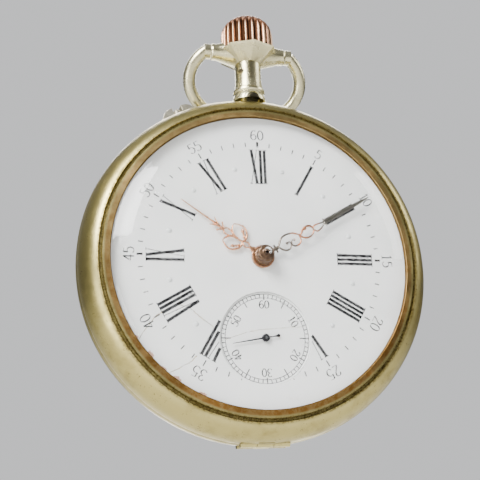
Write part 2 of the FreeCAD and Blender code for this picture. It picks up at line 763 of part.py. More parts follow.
bow_turn = math.asin(-bow_centre.value / bow_reach.value)
path = []
for k in range(25):
    angle = bow_turn + (math.pi - 2 * bow_turn) * k / 24.0
    path.append(V(bow_half.value * math.cos(angle), 0,
                  -bow_centre.value - bow_reach.value * math.sin(angle)))
curve = Part.BSplineCurve()
curve.interpolate(path)
rail = Part.Wire([curve.toShape()])
tangent = path[1].sub(path[0])
section = Part.Wire([Part.makeCircle(bow_wire.value, path[0], tangent)])
loop = rail.makePipeShell([section], True, True)
eye_inner = head_half.value + 0.1
eyes = []
for turn in (-1, 1):
    start = V(turn * eye_inner, 0, 0)
    eyes.append(Part.makeCylinder(bow_wire.value + 0.2, 0.95, start, V(turn, 0, 0)))
    inner = V(turn * (eye_inner - 1.2), 0, 0)
    eyes.append(Part.makeCylinder(bow_pin.value, 1.3, inner, V(turn, 0, 0)))
bow_shape = loop.fuse(eyes)
inside = Part.makeBox(2 * eye_inner, 4, 4, V(-eye_inner, -2, -2.0))
pins = [eyes[1], eyes[3]]
bow_shape = bow_shape.cut(inside).fuse(pins).removeSplitter()
bow_shape.rotate(V(0, 0, 0), V(1, 0, 0), bow_tilt.value)
bow = keep("bow", bow_shape)
bind(bow, "Placement.Base.y", -stem_level)
bind(bow, "Placement.Base.z", head_axis)

stem_end = barrel_at[1] + 6.35
sliding_low = setting_height + minute_teeth * motion_module / 2 + 0.3 + 1.2
sliding_high = sliding_low + 1.5
winding_low = sliding_high + 0.1
winding_high = winding_low + 1.1
stem = new_body("winding_stem", level=stem_level)
spin(stem, [
    (0, stem_end),
    (0.35, stem_end),
    (0.35, stem_end + 1.1),
    (stem_radius, stem_end + 1.1),
    (stem_radius, crown_base + 1.2),
    (0, crown_base + 1.2)], plane="XZ_Plane")

# ---------------------------------------------------------- dial and hands
feet_at = []
for angle in (35, 160, 275):
    reach_out = plate_radius - 1.1
    feet_at.append((reach_out * Size(math.cos(math.radians(angle))),
                    reach_out * Size(math.sin(math.radians(angle)))))
dial = lathe("dial", [
    (dial_bore, dial_back),
    (dial_radius - 0.15, dial_back),
    (dial_radius, dial_back + 0.15),
    (dial_radius, dial_face - 0.15),
    (dial_radius - 0.15, dial_face),
    (dial_bore, dial_face)])
slab(dial, dial_face, dial_thick, circles=[(0, -seconds_drop, seconds_radius + fit)],
     cut=True)
slab(dial, dial_back, 2.0, circles=[(x, z, 0.4) for x, z in feet_at], forward=False)

lathe("seconds_dial", [
    (0.45, dial_back),
    (seconds_radius, dial_back),
    (seconds_radius, dial_face - seconds_sink),
    (0.45, dial_face - seconds_sink)], fourth_at)

hour_level = dial_face + 0.4
minute_level = dial_face + 0.9
hour_pipe = Size(1.2)
cannon_pipe = Size(0.85)
centre_arbor = Size(0.5)


def both_sides(strips):
    return strips + [[(-x, z) for x, z in strip] for strip in strips]


def hand(name, level, hub, bore, strips, turn, extra=()):
    """Fuse strips drawn towards twelve, bore the hub and turn the hand."""
    top = level + hand_thick
    shape = disc(hub, level, top)
    shape = shape.fuse([prism(strip, level, top) for strip in strips] + list(extra))
    shape = shape.cut(disc(bore, num(level) - 1, top)).removeSplitter()
    shape.rotate(V(0, 0, 0), V(0, 1, 0), turn)
    return keep(name, shape)


tip = hour_length.value
hand("hour_hand", hour_level, 1.65, hour_pipe, both_sides([
    curl(0.95, 4.35, 0.85, -200, 110, 0.24, 0.16),
    curl(0.8, 4.7, 0.45, 110, -160, 0.16, 0.12),
    curl(0.72, 5.95, 0.6, -60, 200, 0.22, 0.15),
    curl(0.5, 7.15, 0.42, -120, 200, 0.2, 0.13),
    band([(0.1, 7.7), (0.55, 8.35), (0.95, 8.55)], [0.32, 0.24, 0.08]),
    band([(0.1, 8.4), (0.45, 9.0), (0.75, 9.15)], [0.3, 0.2, 0.08])]) + [
    band([(0, 1.3), (0, 2.4), (0, 2.75), (0, 3.0), (0, 3.6)], [0.75, 0.5, 0.9, 0.45, 0.4]),
    band([(0, 3.4), (0, 5.2), (0, 7.6), (0, 8.8), (0, 9.6), (0, tip)],
         [0.34, 0.22, 0.3, 0.5, 0.42, 0.1])], 305.0)
tip = minute_length.value
cap_low = minute_level + hand_thick
cap_top = cap_low + cap_height
cap = disc(cap_radius, minute_level, cap_top - 0.25)
cap = cap.fuse(Part.makeCone(num(cap_radius), num(cap_radius) - 0.25, 0.25,
                             V(0, 0.25 - num(cap_top), 0), V(0, -1, 0)))
cap = cap.fuse(disc(0.45, cap_top, cap_top + 0.08).cut(disc(0.3, cap_top, bezel_top + 3)))
cap = cap.cut(disc(cannon_pipe, num(minute_level) - 1, cap_low))
hand("minute_hand", minute_level, 1.3, cannon_pipe, both_sides([
    curl(0.85, 3.75, 0.8, -200, 60, 0.2, 0.13),
    curl(1.0, 4.0, 0.5, 60, -180, 0.15, 0.12),
    curl(0.5, 5.15, 0.58, -70, 200, 0.2, 0.14),
    curl(-0.35, 6.75, 0.85, -67, 67, 0.24, 0.2),
    curl(-0.35, 8.25, 0.8, -66, 66, 0.22, 0.2)]) + [
    band([(0, 1.0), (0, 1.9), (0, 2.2), (0, 2.5), (0, 3.1)], [0.7, 0.4, 0.95, 0.4, 0.3]),
    band([(0, 2.9), (0, 5.0), (0, 6.1)], [0.3, 0.2, 0.3]),
    band([(0, 8.85), (0, 9.8), (0, 10.6), (0, tip - 2.0), (0, tip)],
         [0.3, 0.4, 0.72, 0.5, 0.1])], 60.0, [cap])

seconds_level = dial_face - seconds_sink + 0.3
arrow = disc(0.55, num(seconds_level) - 0.2, seconds_level + 0.2)
arrow = arrow.fuse([
    prism(band([(0, 0.3), (0, seconds_length.value)], [0.22, 0.07]),
          seconds_level, seconds_level + 0.12),
    prism(band([(0, -0.3), (0, -1.5)], [0.3, 0.14]), seconds_level, seconds_level + 0.12),
    disc(0.28, seconds_level, seconds_level + 0.12, 0, -1.75)])
arrow = arrow.cut(disc(0.2, 0, bezel_top)).removeSplitter()
arrow.rotate(V(0, 0, 0), V(0, 1, 0), 260.4)
keep("seconds_hand", arrow, fourth_at)

# ------------------------------------------------------------ motion work
motion_low = plate_front + 0.05
motion_high = motion_low + 0.28
upper_low = motion_low + 0.6
upper_high = upper_low + 0.25
cannon_phase = 30.0
minute_phase = mesh_phase(cannon_phase, cannon_leaves, centre_at, minute_at, minute_teeth)
setting_phase = mesh_phase(minute_phase, minute_teeth, minute_at, setting_at, minute_teeth)
leaf_phase = 12.0
hour_phase = mesh_phase(leaf_phase, minute_leaves, minute_at, centre_at, hour_teeth)

cannon = toothed(cannon_leaves, motion_module, cannon_phase, motion_low, motion_low + 0.4)
cannon = cannon.fuse(disc(cannon_pipe, motion_low, minute_level + hand_thick))
keep("cannon_pinion", cannon.cut(disc(centre_arbor, 0, bezel_top)))
hour = toothed(hour_teeth, hour_module, hour_phase, upper_low, upper_high)
hour = hour.fuse(disc(hour_pipe, upper_low, hour_level + hand_thick))
keep("hour_wheel", hour.cut(disc(cannon_pipe + fit, 0, bezel_top)))
minute = toothed(minute_teeth, motion_module, minute_phase, motion_low, motion_high)
minute = minute.fuse(toothed(minute_leaves, hour_module, leaf_phase, motion_high - 0.01,
                             upper_high))
keep("minute_wheel", minute.cut(disc(0.4 + fit.value, 0, bezel_top)), minute_at)
setting = toothed(minute_teeth, motion_module, setting_phase, motion_low, motion_high)
keep("setting_wheel", setting.cut(disc(0.6 + fit.value, 0, bezel_top)), setting_at)

# ---------------------------------------------------------------- winding
winding_pitch = stem_level - winding_radius
wheel_low = bridge_level - 0.55
wheel_high = bridge_level - 0.05
post_radius = Size(1.5)
skirt_inner = Size(2.35)
skirt_outer = Size(3.05)
crown_phase = 3.0
ratchet_phase = mesh_phase(crown_phase, crown_teeth, crown_wheel_at, barrel_at,
                           ratchet_teeth)
wheel = toothed(crown_teeth, winding_module, crown_phase, wheel_low, wheel_high)
face_low = winding_pitch - face_module * 1.05
face_high = winding_pitch + face_module * 0.7
wheel = wheel.fuse(disc(skirt_outer, wheel_high, face_low))
pitch = 360.0 / face_teeth.value
for k in range(int(face_teeth.value)):
    angle = 90.0 + k * pitch
    foot = [polar(num(skirt_outer) - 0.01, angle - 0.26 * pitch),
            polar(num(skirt_outer) - 0.01, angle + 0.26 * pitch),
            polar(num(skirt_inner), angle + 0.22 * pitch),
            polar(num(skirt_inner), angle - 0.22 * pitch)]
    top = [(x * 0.999, z) for x, z in (
        polar(num(skirt_outer) - 0.01, angle - 0.12 * pitch),
        polar(num(skirt_outer) - 0.01, angle + 0.12 * pitch),
        polar(num(skirt_inner), angle + 0.1 * pitch),
        polar(num(skirt_inner), angle - 0.1 * pitch))]
    lower = Part.makePolygon([V(x, -num(face_low) + 0.01, z) for x, z in foot + foot[:1]])
    upper = Part.makePolygon([V(x, -num(face_high), z) for x, z in top + top[:1]])
    wheel = wheel.fuse(Part.makeLoft([lower, upper], True, True))
wheel = wheel.cut(disc(skirt_inner, wheel_high, bezel_top))
keep("crown_wheel", wheel.cut(disc(post_radius + fit, 0, bezel_top)), crown_wheel_at)

ratchet = toothed(ratchet_teeth, winding_module, ratchet_phase, wheel_low, wheel_high)
arbor_radius = Size(0.8)
keep("ratchet_wheel", ratchet.cut(disc(arbor_radius, 0, bezel_top)), barrel_at)


def screw(name, place, head, head_low, head_high, shank, tip_level):
    """Slotted screw whose head faces the back."""
    body = lathe(name, [
        (0, head_low),
        (head, head_low),
        (head, head_high),
        (shank, head_high),
        (shank, tip_level),
        (0, tip_level)], place)
    slab(body, as_size(head_low) + 0.12, 0.3,
         box_outline(-head - 0.1, head + 0.1, Size(-0.14), Size(0.14)), cut=True)
    return body


screw("ratchet_screw", barrel_at, Size(1.4), wheel_low - 0.3, wheel_low, Size(0.4),
      wheel_high + 0.8)
screw("crown_wheel_screw", crown_wheel_at, Size(1.9), wheel_low - 0.35, wheel_low - 0.05,
      Size(0.5), bridge_level + 1.2)


def along_stem(teeth, module, phase, low, high):
    """Toothed prism about the stem axis between two heights."""
    shape = toothed(teeth, module, phase, 0, num(high) - num(low))
    shape.rotate(V(0, 0, 0), V(1, 0, 0), -90)
    shape.translate(V(0, -num(stem_level), num(low)))
    return shape


half_tooth = 180.0 / winding_leaves.value
pinion = along_stem(winding_leaves, face_module, 90.0 + half_tooth, winding_low,
                    winding_high)
stem_hole = Part.makeCylinder(num(stem_radius), 30, V(0, -num(stem_level), 0))
keep("winding_pinion", pinion.cut(stem_hole))
castle = Part.makeCylinder(1.4, num(sliding_high) - num(sliding_low),
                           V(0, -num(stem_level), num(sliding_low)))
groove_mid = (num(sliding_high) + num(sliding_low)) / 2
neck = Part.makeCylinder(1.5, 0.55, V(0, -num(stem_level), groove_mid - 0.275))
neck = neck.cut(Part.makeCylinder(0.9, 0.55, V(0, -num(stem_level), groove_mid - 0.275)))
castle = castle.cut(neck)
for k in range(12):
    tooth = Part.makeBox(0.36, 1.6, 0.3, V(-0.18, 0.95, num(sliding_low) - 0.01))
    tooth.rotate(V(0, 0, 0), V(0, 0, 1), k * 30.0)
    tooth.translate(V(0, -num(stem_level), 0))
    castle = castle.cut(tooth)
stem_room = Part.makeCylinder(num(stem_radius + fit), 30, V(0, -num(stem_level), 0))
keep("sliding_pinion", castle.cut(stem_room))

lever_low = plate_front + 0.15
lever_high = lever_low + 0.4
stud_reach = push_inner - 0.3 - 0.05
stud_at = (-stud_reach.value * math.sin(math.radians(push_angle.value)),
           stud_reach.value * math.cos(math.radians(push_angle.value)))
hub_at = (lever_at[0].value, lever_at[1].value)
lever = prism(band([hub_at, (-9.5, 14.9), stud_at, (-5.0, 16.3), (0.2, groove_mid)],
                   [1.6, 1.6, 1.3, 1.0, 0.7]), lever_low, lever_high)
lever = lever.fuse([
    disc(1.1, lever_low, lever_high, hub_at[0], hub_at[1]),
    disc(0.65, lever_low, lever_high, stud_at[0], stud_at[1]),
    disc(0.3, push_level - 0.4, lever_high, stud_at[0], stud_at[1]),
    disc(0.22, stem_level + 1.02, lever_high, 0.0, groove_mid)])
lever = lever.cut(disc(0.6 + fit.value, 0, bezel_top, hub_at[0], hub_at[1]))
keep("setting_lever", lever.removeSplitter())
spring = prism(band([(-15.5, 9.2), (-12.0, 10.2), (-8.5, 12.2), (-6.2, 14.3)],
                    [0.45, 0.35, 0.28, 0.22]), lever_low, lever_high)
spring = spring.fuse(disc(0.9, plate_front, lever_high, -15.9, 9.1))
keep("setting_spring", spring.removeSplitter())

click_at = (barrel_at[0] - 8.5, barrel_at[1] + 2.1)
click = prism([(-0.6, 0.9), (1.2, 1.1), (2.75, 0.55), (1.6, -0.1), (0.4, -0.9),
               (-0.8, -0.6)], wheel_low, wheel_high - 0.02)
click = click.fuse(disc(0.95, wheel_low, wheel_high - 0.02))
keep("click", click.cut(disc(0.4 + fit.value, 0, bezel_top)).removeSplitter(), click_at)
click_spring = prism(band([(-1.9, -5.4), (-1.5, -4.2), (-1.1, -2.9), (-0.9, -1.25)],
                          [0.5, 0.3, 0.2, 0.16]), wheel_low + 0.05, wheel_high - 0.05)
click_spring = click_spring.fuse(disc(0.7, wheel_low, bridge_level, -2.0, -5.8))
keep("click_spring", click_spring.removeSplitter(), click_at)

# ------------------------------------------------------------ going train
barrel_phase = 0.0
centre_phase = mesh_phase(barrel_phase, barrel_teeth, barrel_at, centre_at, centre_leaves)
wheel_phase = 5.0
third_phase = mesh_phase(wheel_phase, centre_teeth, centre_at, third_at, third_leaves)
fourth_phase = mesh_phase(0.0, third_teeth, third_at, fourth_at, fourth_leaves)
escape_phase = mesh_phase(0.0, fourth_teeth, fourth_at, escape_at, escape_leaves)

drum_low = plate_level - 1.0
drum_high = plate_level + 0.95
drum_inner = Size(7.1)
drum = toothed(barrel_teeth, barrel_module, barrel_phase, drum_low, drum_low + 0.4)
drum = drum.fuse(disc(drum_inner + 0.4, drum_low, drum_high))
drum = drum.cut(disc(drum_inner, drum_low, drum_high - 0.3))
keep("barrel", drum.cut(disc(arbor_radius + fit, 0, bezel_top)), barrel_at)
lathe("barrel_cover", [
    (arbor_radius + fit, drum_low),
    (drum_inner, drum_low),
    (drum_inner, drum_low + 0.25),
    (arbor_radius + fit, drum_low + 0.25)], barrel_at)
lathe("barrel_arbor", [
    (0.4, wheel_low),
    (arbor_radius, wheel_low),
    (arbor_radius, drum_low + 0.3),
    (1.9, drum_low + 0.3),
    (1.9, drum_high - 0.35),
    (arbor_radius, drum_high - 0.35),
    (arbor_radius, plate_front - 0.05),
    (0, plate_front - 0.05),
    (0, wheel_high + 0.8),
    (0.4, wheel_high + 0.8)], barrel_at)
keep("mainspring", spiral(2.05, drum_inner.value - 0.1, 8, 0.16, drum_low + 0.32,
                          drum_high - 0.35), barrel_at)


def arbor_shape(low, high, end_low, end_high, thin=pivot, long_thin=None):
    """Arbor between two shoulders with a pivot at each end."""
    front = thin if long_thin is None else long_thin
    shape = disc(arbor, low, high)
    return shape.fuse([disc(thin, end_low, low), disc(front, high, end_high)])


def wheel_shape(teeth, module, phase, low, rim, hub, arms):
    shape = toothed(teeth, module, phase, low, low + wheel_thick)
    shape = crossed(shape, rim, hub, arms, low, low + wheel_thick)
    return shape.cut(disc(arbor, 0, bezel_top))


jewel_back = bridge_level + 0.4
jewel_front = plate_level + 0.6
shoulder_low = roof - 0.05
shoulder_high = plate_level + 0.05
centre_low = roof + 0.3
third_low = plate_level - 0.9
fourth_low = plate_level - 1.3
escape_low = plate_level - 0.7

centre_hub = toothed(centre_leaves, barrel_module, centre_phase, centre_low + wheel_thick,
                     plate_level - 0.1)
centre_hub = centre_hub.fuse([
    disc(centre_arbor, centre_low, minute_level + hand_thick),
    disc(0.3, bridge_level, centre_low)])
keep("centre_pinion", centre_hub)
centre_wheel = toothed(centre_teeth, centre_module, wheel_phase, centre_low,
                       centre_low + wheel_thick)
centre_wheel = crossed(centre_wheel, 6.5, 1.5, 5, centre_low, centre_low + wheel_thick)
keep("centre_wheel", centre_wheel.cut(disc(centre_arbor, 0, bezel_top)))

third_hub = toothed(third_leaves, centre_module, third_phase, centre_low - 0.1,
                    centre_low + wheel_thick + 0.1)
keep("third_pinion", third_hub.fuse(arbor_shape(shoulder_low, shoulder_high, jewel_back,
                                                jewel_front)), third_at)
keep("third_wheel", wheel_shape(third_teeth, third_module, 0.0, third_low, 4.6, 1.2, 4),
     third_at)
fourth_hub = toothed(fourth_leaves, third_module, fourth_phase, fourth_low + wheel_thick,
                     plate_level - 0.1)
keep("fourth_pinion", fourth_hub.fuse(arbor_shape(shoulder_low, shoulder_high, jewel_back,
                                                  seconds_level + 0.15, pivot, 0.2)),
     fourth_at)
keep("fourth_wheel", wheel_shape(fourth_teeth, fourth_module, 0.0, fourth_low, 4.5, 1.2, 4),
     fourth_at)
escape_hub = toothed(escape_leaves, fourth_module, escape_phase, fourth_low - 0.15,
                     escape_low)
escape_hub = escape_hub.fuse([
    disc(0.32, shoulder_low, shoulder_high),
    disc(pivot, jewel_back, shoulder_low),
    disc(pivot, shoulder_high, jewel_front)])
keep("escape_pinion", escape_hub, escape_at)
points = []
for k in range(15):
    angle = k * 24.0
    points.append(polar(escape_radius.value - 0.85, angle - 7.0))
    points.append(polar(escape_radius.value, angle - 1.5))
    points.append(polar(escape_radius.value, angle + 1.5))
    points.append(polar(escape_radius.value - 0.85, angle + 0.5))
escape = prism(points, escape_low, escape_low + 0.25)
escape = crossed(escape, 2.1, 0.8, 4, escape_low, escape_low + 0.25)
keep("escape_wheel", escape.cut(disc(0.32, 0, bezel_top)), escape_at)

fork_low = escape_low
fork_high = fork_low + 0.25
line = lever_swing.value
reach_back = pallet_reach.value
arms = []
stones = []
for turn in (-30.0, 30.0):
    spot = polar(escape_radius.value + 0.75, line + turn,
                 -reach_back * math.cos(math.radians(line)),
                 -reach_back * math.sin(math.radians(line)))
    arms.append(prism(band([(0, 0), spot], [0.75, 0.5]), fork_low, fork_high))
    inner = polar(escape_radius.value + 0.36, line + turn,
                  -reach_back * math.cos(math.radians(line)),
                  -reach_back * math.sin(math.radians(line)))
    stones.append(prism(band([spot, inner], [0.34, 0.34]), fork_high, fork_high + 0.2))
end = lever_length.value - 1.0
notch_end = polar(end, line)
fork = disc(0.55, fork_low, fork_high).fuse(arms)
fork = fork.fuse(prism(band([(0, 0), polar(end - 0.9, line), polar(end - 0.55, line),
                             notch_end], [0.55, 0.36, 1.1, 1.0]), fork_low, fork_high))
fork = fork.cut(prism(band([polar(end - 0.45, line), polar(end + 0.2, line)], [0.3, 0.3]),
                      0, bezel_top))
fork = fork.cut(disc(0.25, 0, bezel_top)).removeSplitter()
keep("pallet_fork", fork, pallet_at)
keep("pallet_stones", Part.makeCompound(stones), pallet_at)
pallet_roof = fork_low - 0.3
keep("pallet_arbor", disc(0.25, pallet_roof - 0.0, plate_level - 0.02).fuse([
    disc(pivot, pallet_roof - 0.35, pallet_roof),
    disc(pivot, plate_level - 0.02, jewel_front)]), pallet_at)

rim_low = bridge_level + 0.45
rim_high = rim_low + 0.6
rim = disc(balance_radius, rim_low, rim_high).cut(disc(balance_radius - 0.65, 0, bezel_top))
bar = prism(box_outline(-6.5, 6.5, -0.5, 0.5), rim_low + 0.15, rim_low + 0.4)
hub = disc(1.1, rim_low + 0.1, rim_high - 0.1)
weights = []
for k in range(12):
    side_way = V(math.cos(math.radians(k * 30.0 + 15)), 0, math.sin(math.radians(k * 30.0 + 15)))
    start = side_way * (balance_radius.value - 0.2)
    start.y = -num(rim_low) - 0.3
    weights.append(Part.makeCylinder(0.24, 0.6, start, side_way))
balance = rim.fuse([bar, hub] + weights).cut(disc(0.45, 0, bezel_top))
keep("balance_wheel", balance, balance_at)
cock_low = bridge_level - 0.8
cock_high = cock_low + 0.75
keep("balance_staff", disc(0.45, cock_high + 0.1, plate_level - 0.05).fuse([
    disc(0.6, cock_high + 0.12, rim_low - 0.1),
    disc(0.1, cock_low + 0.2, cock_high + 0.1),
    disc(0.1, plate_level - 0.05, jewel_front),
    disc(1.15, fork_low - 0.25, fork_low - 0.1),
    disc(0.12, fork_low - 0.25, fork_low - 0.05, *polar(0.95, line + 180.0))]), balance_at)
hairspring = spiral(0.78, 3.1, 7, 0.07, cock_high + 0.2, cock_high + 0.38, 20)
keep("hairspring", hairspring, balance_at)
index = disc(1.6, cock_low - 0.27, cock_low - 0.03)
index = index.fuse([
    prism(band([polar(1.2, 62), polar(3.4, 62), polar(6.4, 62)], [0.9, 0.5, 0.12]),
          cock_low - 0.27, cock_low - 0.03),
    prism(band([polar(1.2, 242), polar(2.7, 242)], [0.8, 0.4]), cock_low - 0.27,
          cock_low - 0.03),
    disc(0.09, cock_low - 0.1, cock_high + 0.13, *polar(2.5, 242))])
index = index.cut(disc(1.0 + fit.value, 0, bezel_top)).removeSplitter()
keep("regulator_index", index, balance_at)

# ------------------------------------------------------- plate and bridges
jewel_radius = Size(0.6)
keyhole = 1.65
pinion_room = winding_radius + 0.4
reach_points = []
for radius, offset in ((push_inner - 1.3, -0.95), (push_inner - 1.3, 0.95),
                       (plate_radius + 1.0, 0.95), (plate_radius + 1.0, -0.95)):
    reach_points.append((offset * cos(push_angle) - radius * sin(push_angle),
                         offset * sin(push_angle) + radius * cos(push_angle)))
screws_at = {
    "barrel_left": (Size(-17.2), Size(1.2)),
    "barrel_top": (Size(-11.0), Size(15.6)),
    "barrel_right": (Size(6.6), Size(15.0)),
    "train_left": (Size(-10.6), Size(-13.0)),
    "train_low": (Size(0.6), Size(-18.3)),
    "train_middle": (Size(-11.2), Size(-4.2)),
    "cock": (Size(15.3), Size(7.2)),
    "pallet": (Size(13.3), Size(-13.2))}
case_screws_at = []
for angle in (41.5, 235.0):
    case_screws_at.append(((plate_radius - 0.68) * Size(math.sin(math.radians(angle))),
                           (plate_radius - 0.68) * Size(math.cos(math.radians(angle)))))
shank = Size(0.45)

plate = lathe("mainplate", [
    (0, plate_level),
    (plate_radius, plate_level),
    (plate_radius, plate_front - flange_thick),
    (dial_radius - 0.1, plate_front - flange_thick),
    (dial_radius - 0.1, plate_front),
    (0, plate_front)])
slab(plate, plate_level, 1.05, circles=[barrel_at + (barrel_centre - 0.6,)], cut=True,
     forward=True)
slab(plate, plate_front, plate_thick, cut=True, circles=[
    centre_at + (centre_arbor + fit,),
    barrel_at + (arbor_radius + fit,),
    third_at + (jewel_radius,),
    fourth_at + (jewel_radius,),
    escape_at + (jewel_radius,),
    pallet_at + (jewel_radius,),
    balance_at + (jewel_radius,)]
    + [(x, z, 0.4 + fit) for x, z in feet_at]
    + [screws_at[name] + (shank,) for name in sorted(screws_at)]
    + [(x, z, shank) for x, z in case_screws_at])
slab(plate, plate_front, plate_thick, box_outline(-keyhole, keyhole, sliding_low - 1.4,
                                                  sliding_high + 0.05), cut=True)
slab(plate, plate_front, plate_thick, box_outline(-pinion_room, pinion_room,
                                                  sliding_high + 0.05, winding_high + 0.15),
     cut=True)
slab(plate, plate_level, 0.75, box_outline(-stem_radius - 0.06, stem_radius + 0.06,
                                           stem_end - 0.1, dial_radius + 1), cut=True,
     forward=True)
slot = [(x, z) for x, z in reach_points[:2]]
for offset in (0.95, -0.95):
    slot.append((offset * cos(push_angle) - (push_inner + 0.35) * sin(push_angle),
                 offset * sin(push_angle) + (push_inner + 0.35) * cos(push_angle)))
slab(plate, plate_front, plate_thick, slot, cut=True)
slab(plate, plate_front, 0.55, circles=[minute_at + (0.4,)])
slab(plate, plate_front, 0.55, circles=[setting_at + (0.6,)])
slab(plate, plate_front, 0.65, circles=[lever_at + (0.6,)])


def bridge(name, outline, level, thick, sinks, holes):
    """Full-height bridge sunk from the plate side, trimmed to the movement circle."""
    body = new_body(name)
    slab(body, level, plate_level - level, outline)
    spin(body, [(plate_radius, 0), (plate_radius, -plate_front),
                (plate_radius + 15, -plate_front), (plate_radius + 15, 0)], cut=True)
    for x, z, radius, ceiling in sinks:
        slab(body, plate_level, plate_level - ceiling, circles=[(x, z, radius)], cut=True)
    if holes:
        slab(body, level + thick, thick, circles=holes, cut=True)
    return body


def sunk_screw(x, z):
    return (x, z, 1.0)


third_room = third_teeth * third_module / 2 + 0.4
fourth_room = fourth_teeth * fourth_module / 2 + 0.4
centre_room = centre_teeth * centre_module / 2 + 0.4
balance_room = balance_radius + 0.9
barrel_room = barrel_teeth * barrel_module / 2 + 0.4
barrel_bridge = bridge("barrel_bridge", [
    (-22, -1.6), (2.0, -1.6), (3.4, 8.6), (9.4, 11.4), (9.4, 22), (-22, 22)],
    bridge_level, 1.0,
    [barrel_at + (barrel_room, drum_low - 0.2), centre_at + (centre_room, centre_low - 0.15)],
    [])
slab(barrel_bridge, plate_level, plate_level - bridge_level, cut=True, circles=[
    barrel_at + (arbor_radius + fit,), centre_at + (0.3 + fit,)])
for name in ("barrel_left", "barrel_top", "barrel_right"):
    slab(barrel_bridge, plate_level, plate_level - bridge_level, cut=True,
         circles=[screws_at[name] + (shank,)])
    slab(barrel_bridge, bridge_level, 0.5, cut=True, forward=True,
         circles=[screws_at[name] + (1.05,)])
slab(barrel_bridge, plate_level, plate_level - (stem_level - 1.6),
     box_outline(-keyhole, keyhole, sliding_low - 1.4, sliding_high + 0.05), cut=True)
slab(barrel_bridge, plate_level, plate_level - (stem_level - pinion_room),
     box_outline(-pinion_room, pinion_room, sliding_high + 0.05, winding_high + 0.15),
     cut=True)
slab(barrel_bridge, plate_level, stem_radius + 0.1,
     box_outline(-stem_radius - 0.06, stem_radius + 0.06, stem_end - 0.1, plate_radius + 1),
     cut=True)
slab(barrel_bridge, plate_level, plate_level - (push_level - push_radius - 0.2),
     reach_points, cut=True)
slab(barrel_bridge, bridge_level, face_high + 0.12 - bridge_level, cut=True, forward=True,
     circles=[crown_wheel_at + (skirt_outer + 0.08,), crown_wheel_at + (skirt_inner - 0.08,)])
slab(barrel_bridge, bridge_level, 0.57, circles=[crown_wheel_at + (post_radius,)],
     forward=False)
slab(barrel_bridge, bridge_level - 0.57, 1.77, cut=True, forward=True,
     circles=[crown_wheel_at + (0.5,)])
slab(barrel_bridge, bridge_level, 0.57, circles=[click_at + (0.4,)], forward=False)

train_bridge = bridge("train_bridge", [
    (-13.2, -2.0), (-1.4, -2.0), (1.6, -4.6), (7.6, -11.0), (9.2, -22), (-13.2, -22)],
    bridge_level, 1.0,
    [third_at + (third_room, roof), fourth_at + (fourth_room, roof),
     escape_at + (escape_radius + 0.4, roof), centre_at + (centre_room, roof)],
    [third_at + (jewel_radius,), fourth_at + (jewel_radius,), escape_at + (jewel_radius,)])
slab(train_bridge, plate_level, plate_level - bridge_level,
     circles=[balance_at + (balance_room,)], cut=True)
for name in ("train_left", "train_low", "train_middle"):
    slab(train_bridge, plate_level, plate_level - bridge_level, cut=True,
         circles=[screws_at[name] + (shank,)])
    slab(train_bridge, bridge_level, 0.5, cut=True, forward=True,
         circles=[screws_at[name] + (1.05,)])


def finger(start, finish, width, foot_width, back_end, front_end):
    """Outline of a cock from its pivot end to its foot."""
    dx = finish[0].value - start[0].value
    dz = finish[1].value - start[1].value
    length = math.hypot(dx, dz)
    ux = dx / length
    uz = dz / length
    points = []
    for along, half in ((-back_end, width * 0.55), (-back_end * 0.45, width), (2.0, width),
                        (length - 2.6, foot_width * 0.8), (length - 1.5, foot_width),
                        (length + front_end, foot_width)):
        points.append((start[0] + Size(ux * along - uz * half),
                       start[1] + Size(uz * along + ux * half)))
    for along, half in ((length + front_end, foot_width), (length - 1.5, foot_width),
                        (length - 2.6, foot_width * 0.8), (2.0, width),
                        (-back_end * 0.45, width), (-back_end, width * 0.55)):
        points.append((start[0] + Size(ux * along + uz * half),
                       start[1] + Size(uz * along - ux * half)))
    return points


cock = bridge("balance_cock", finger(balance_at, screws_at["cock"], 1.9, 3.4, 1.9, 3.0),
              cock_low, 0.75, [balance_at + (balance_room, cock_high)],
              [balance_at + (jewel_radius,)])
slab(cock, plate_level, plate_level - cock_low, cut=True,
     circles=[screws_at["cock"] + (shank,)])
slab(cock, cock_low, 0.5, cut=True, forward=True, circles=[screws_at["cock"] + (1.05,)])
slab(cock, cock_low, 0.3, circles=[balance_at + (1.0,)], forward=False)
slab(cock, cock_low - 0.3, 0.5, circles=[balance_at + (jewel_radius,)], cut=True,
     forward=True)
slab(cock, cock_high, 0.45,
     circles=[(balance_at[0] + Size(1.3), balance_at[1] + Size(3.05), 0.2)])

cock_top = pallet_roof - 0.55
small_cock = bridge("pallet_cock", finger(pallet_at, screws_at["pallet"], 0.85, 1.3, 0.85,
                                          1.3),
                    cock_top, 0.54, [pallet_at + (4.4, pallet_roof - 0.02)],
                    [pallet_at + (pivot + fit,)])
slab(small_cock, plate_level, plate_level - cock_top, cut=True,
     circles=[screws_at["pallet"] + (shank,)])

rings = []
for place, hole, low, high in (
        (third_at, pivot, roof - 0.55, roof - 0.1),
        (fourth_at, pivot, roof - 0.55, roof - 0.1),
        (escape_at, pivot, roof - 0.55, roof - 0.1),
        (balance_at, Size(0.1), cock_high - 0.4, cock_high),
        (third_at, pivot, plate_level + 0.1, plate_level + 0.5),
        (fourth_at, Size(0.2), plate_level + 0.1, plate_level + 0.5),
        (escape_at, pivot, plate_level + 0.1, plate_level + 0.5),
        (pallet_at, pivot, plate_level + 0.1, plate_level + 0.5),
        (balance_at, Size(0.1), plate_level + 0.1, plate_level + 0.5)):
    ring = disc(jewel_radius, low, high, place[0], place[1])
    rings.append(ring.cut(disc(hole + fit, 0, bezel_top, place[0], place[1])))
rings.append(disc(jewel_radius, cock_low - 0.3, cock_low + 0.1, *balance_at))
keep("jewels", Part.makeCompound(rings))


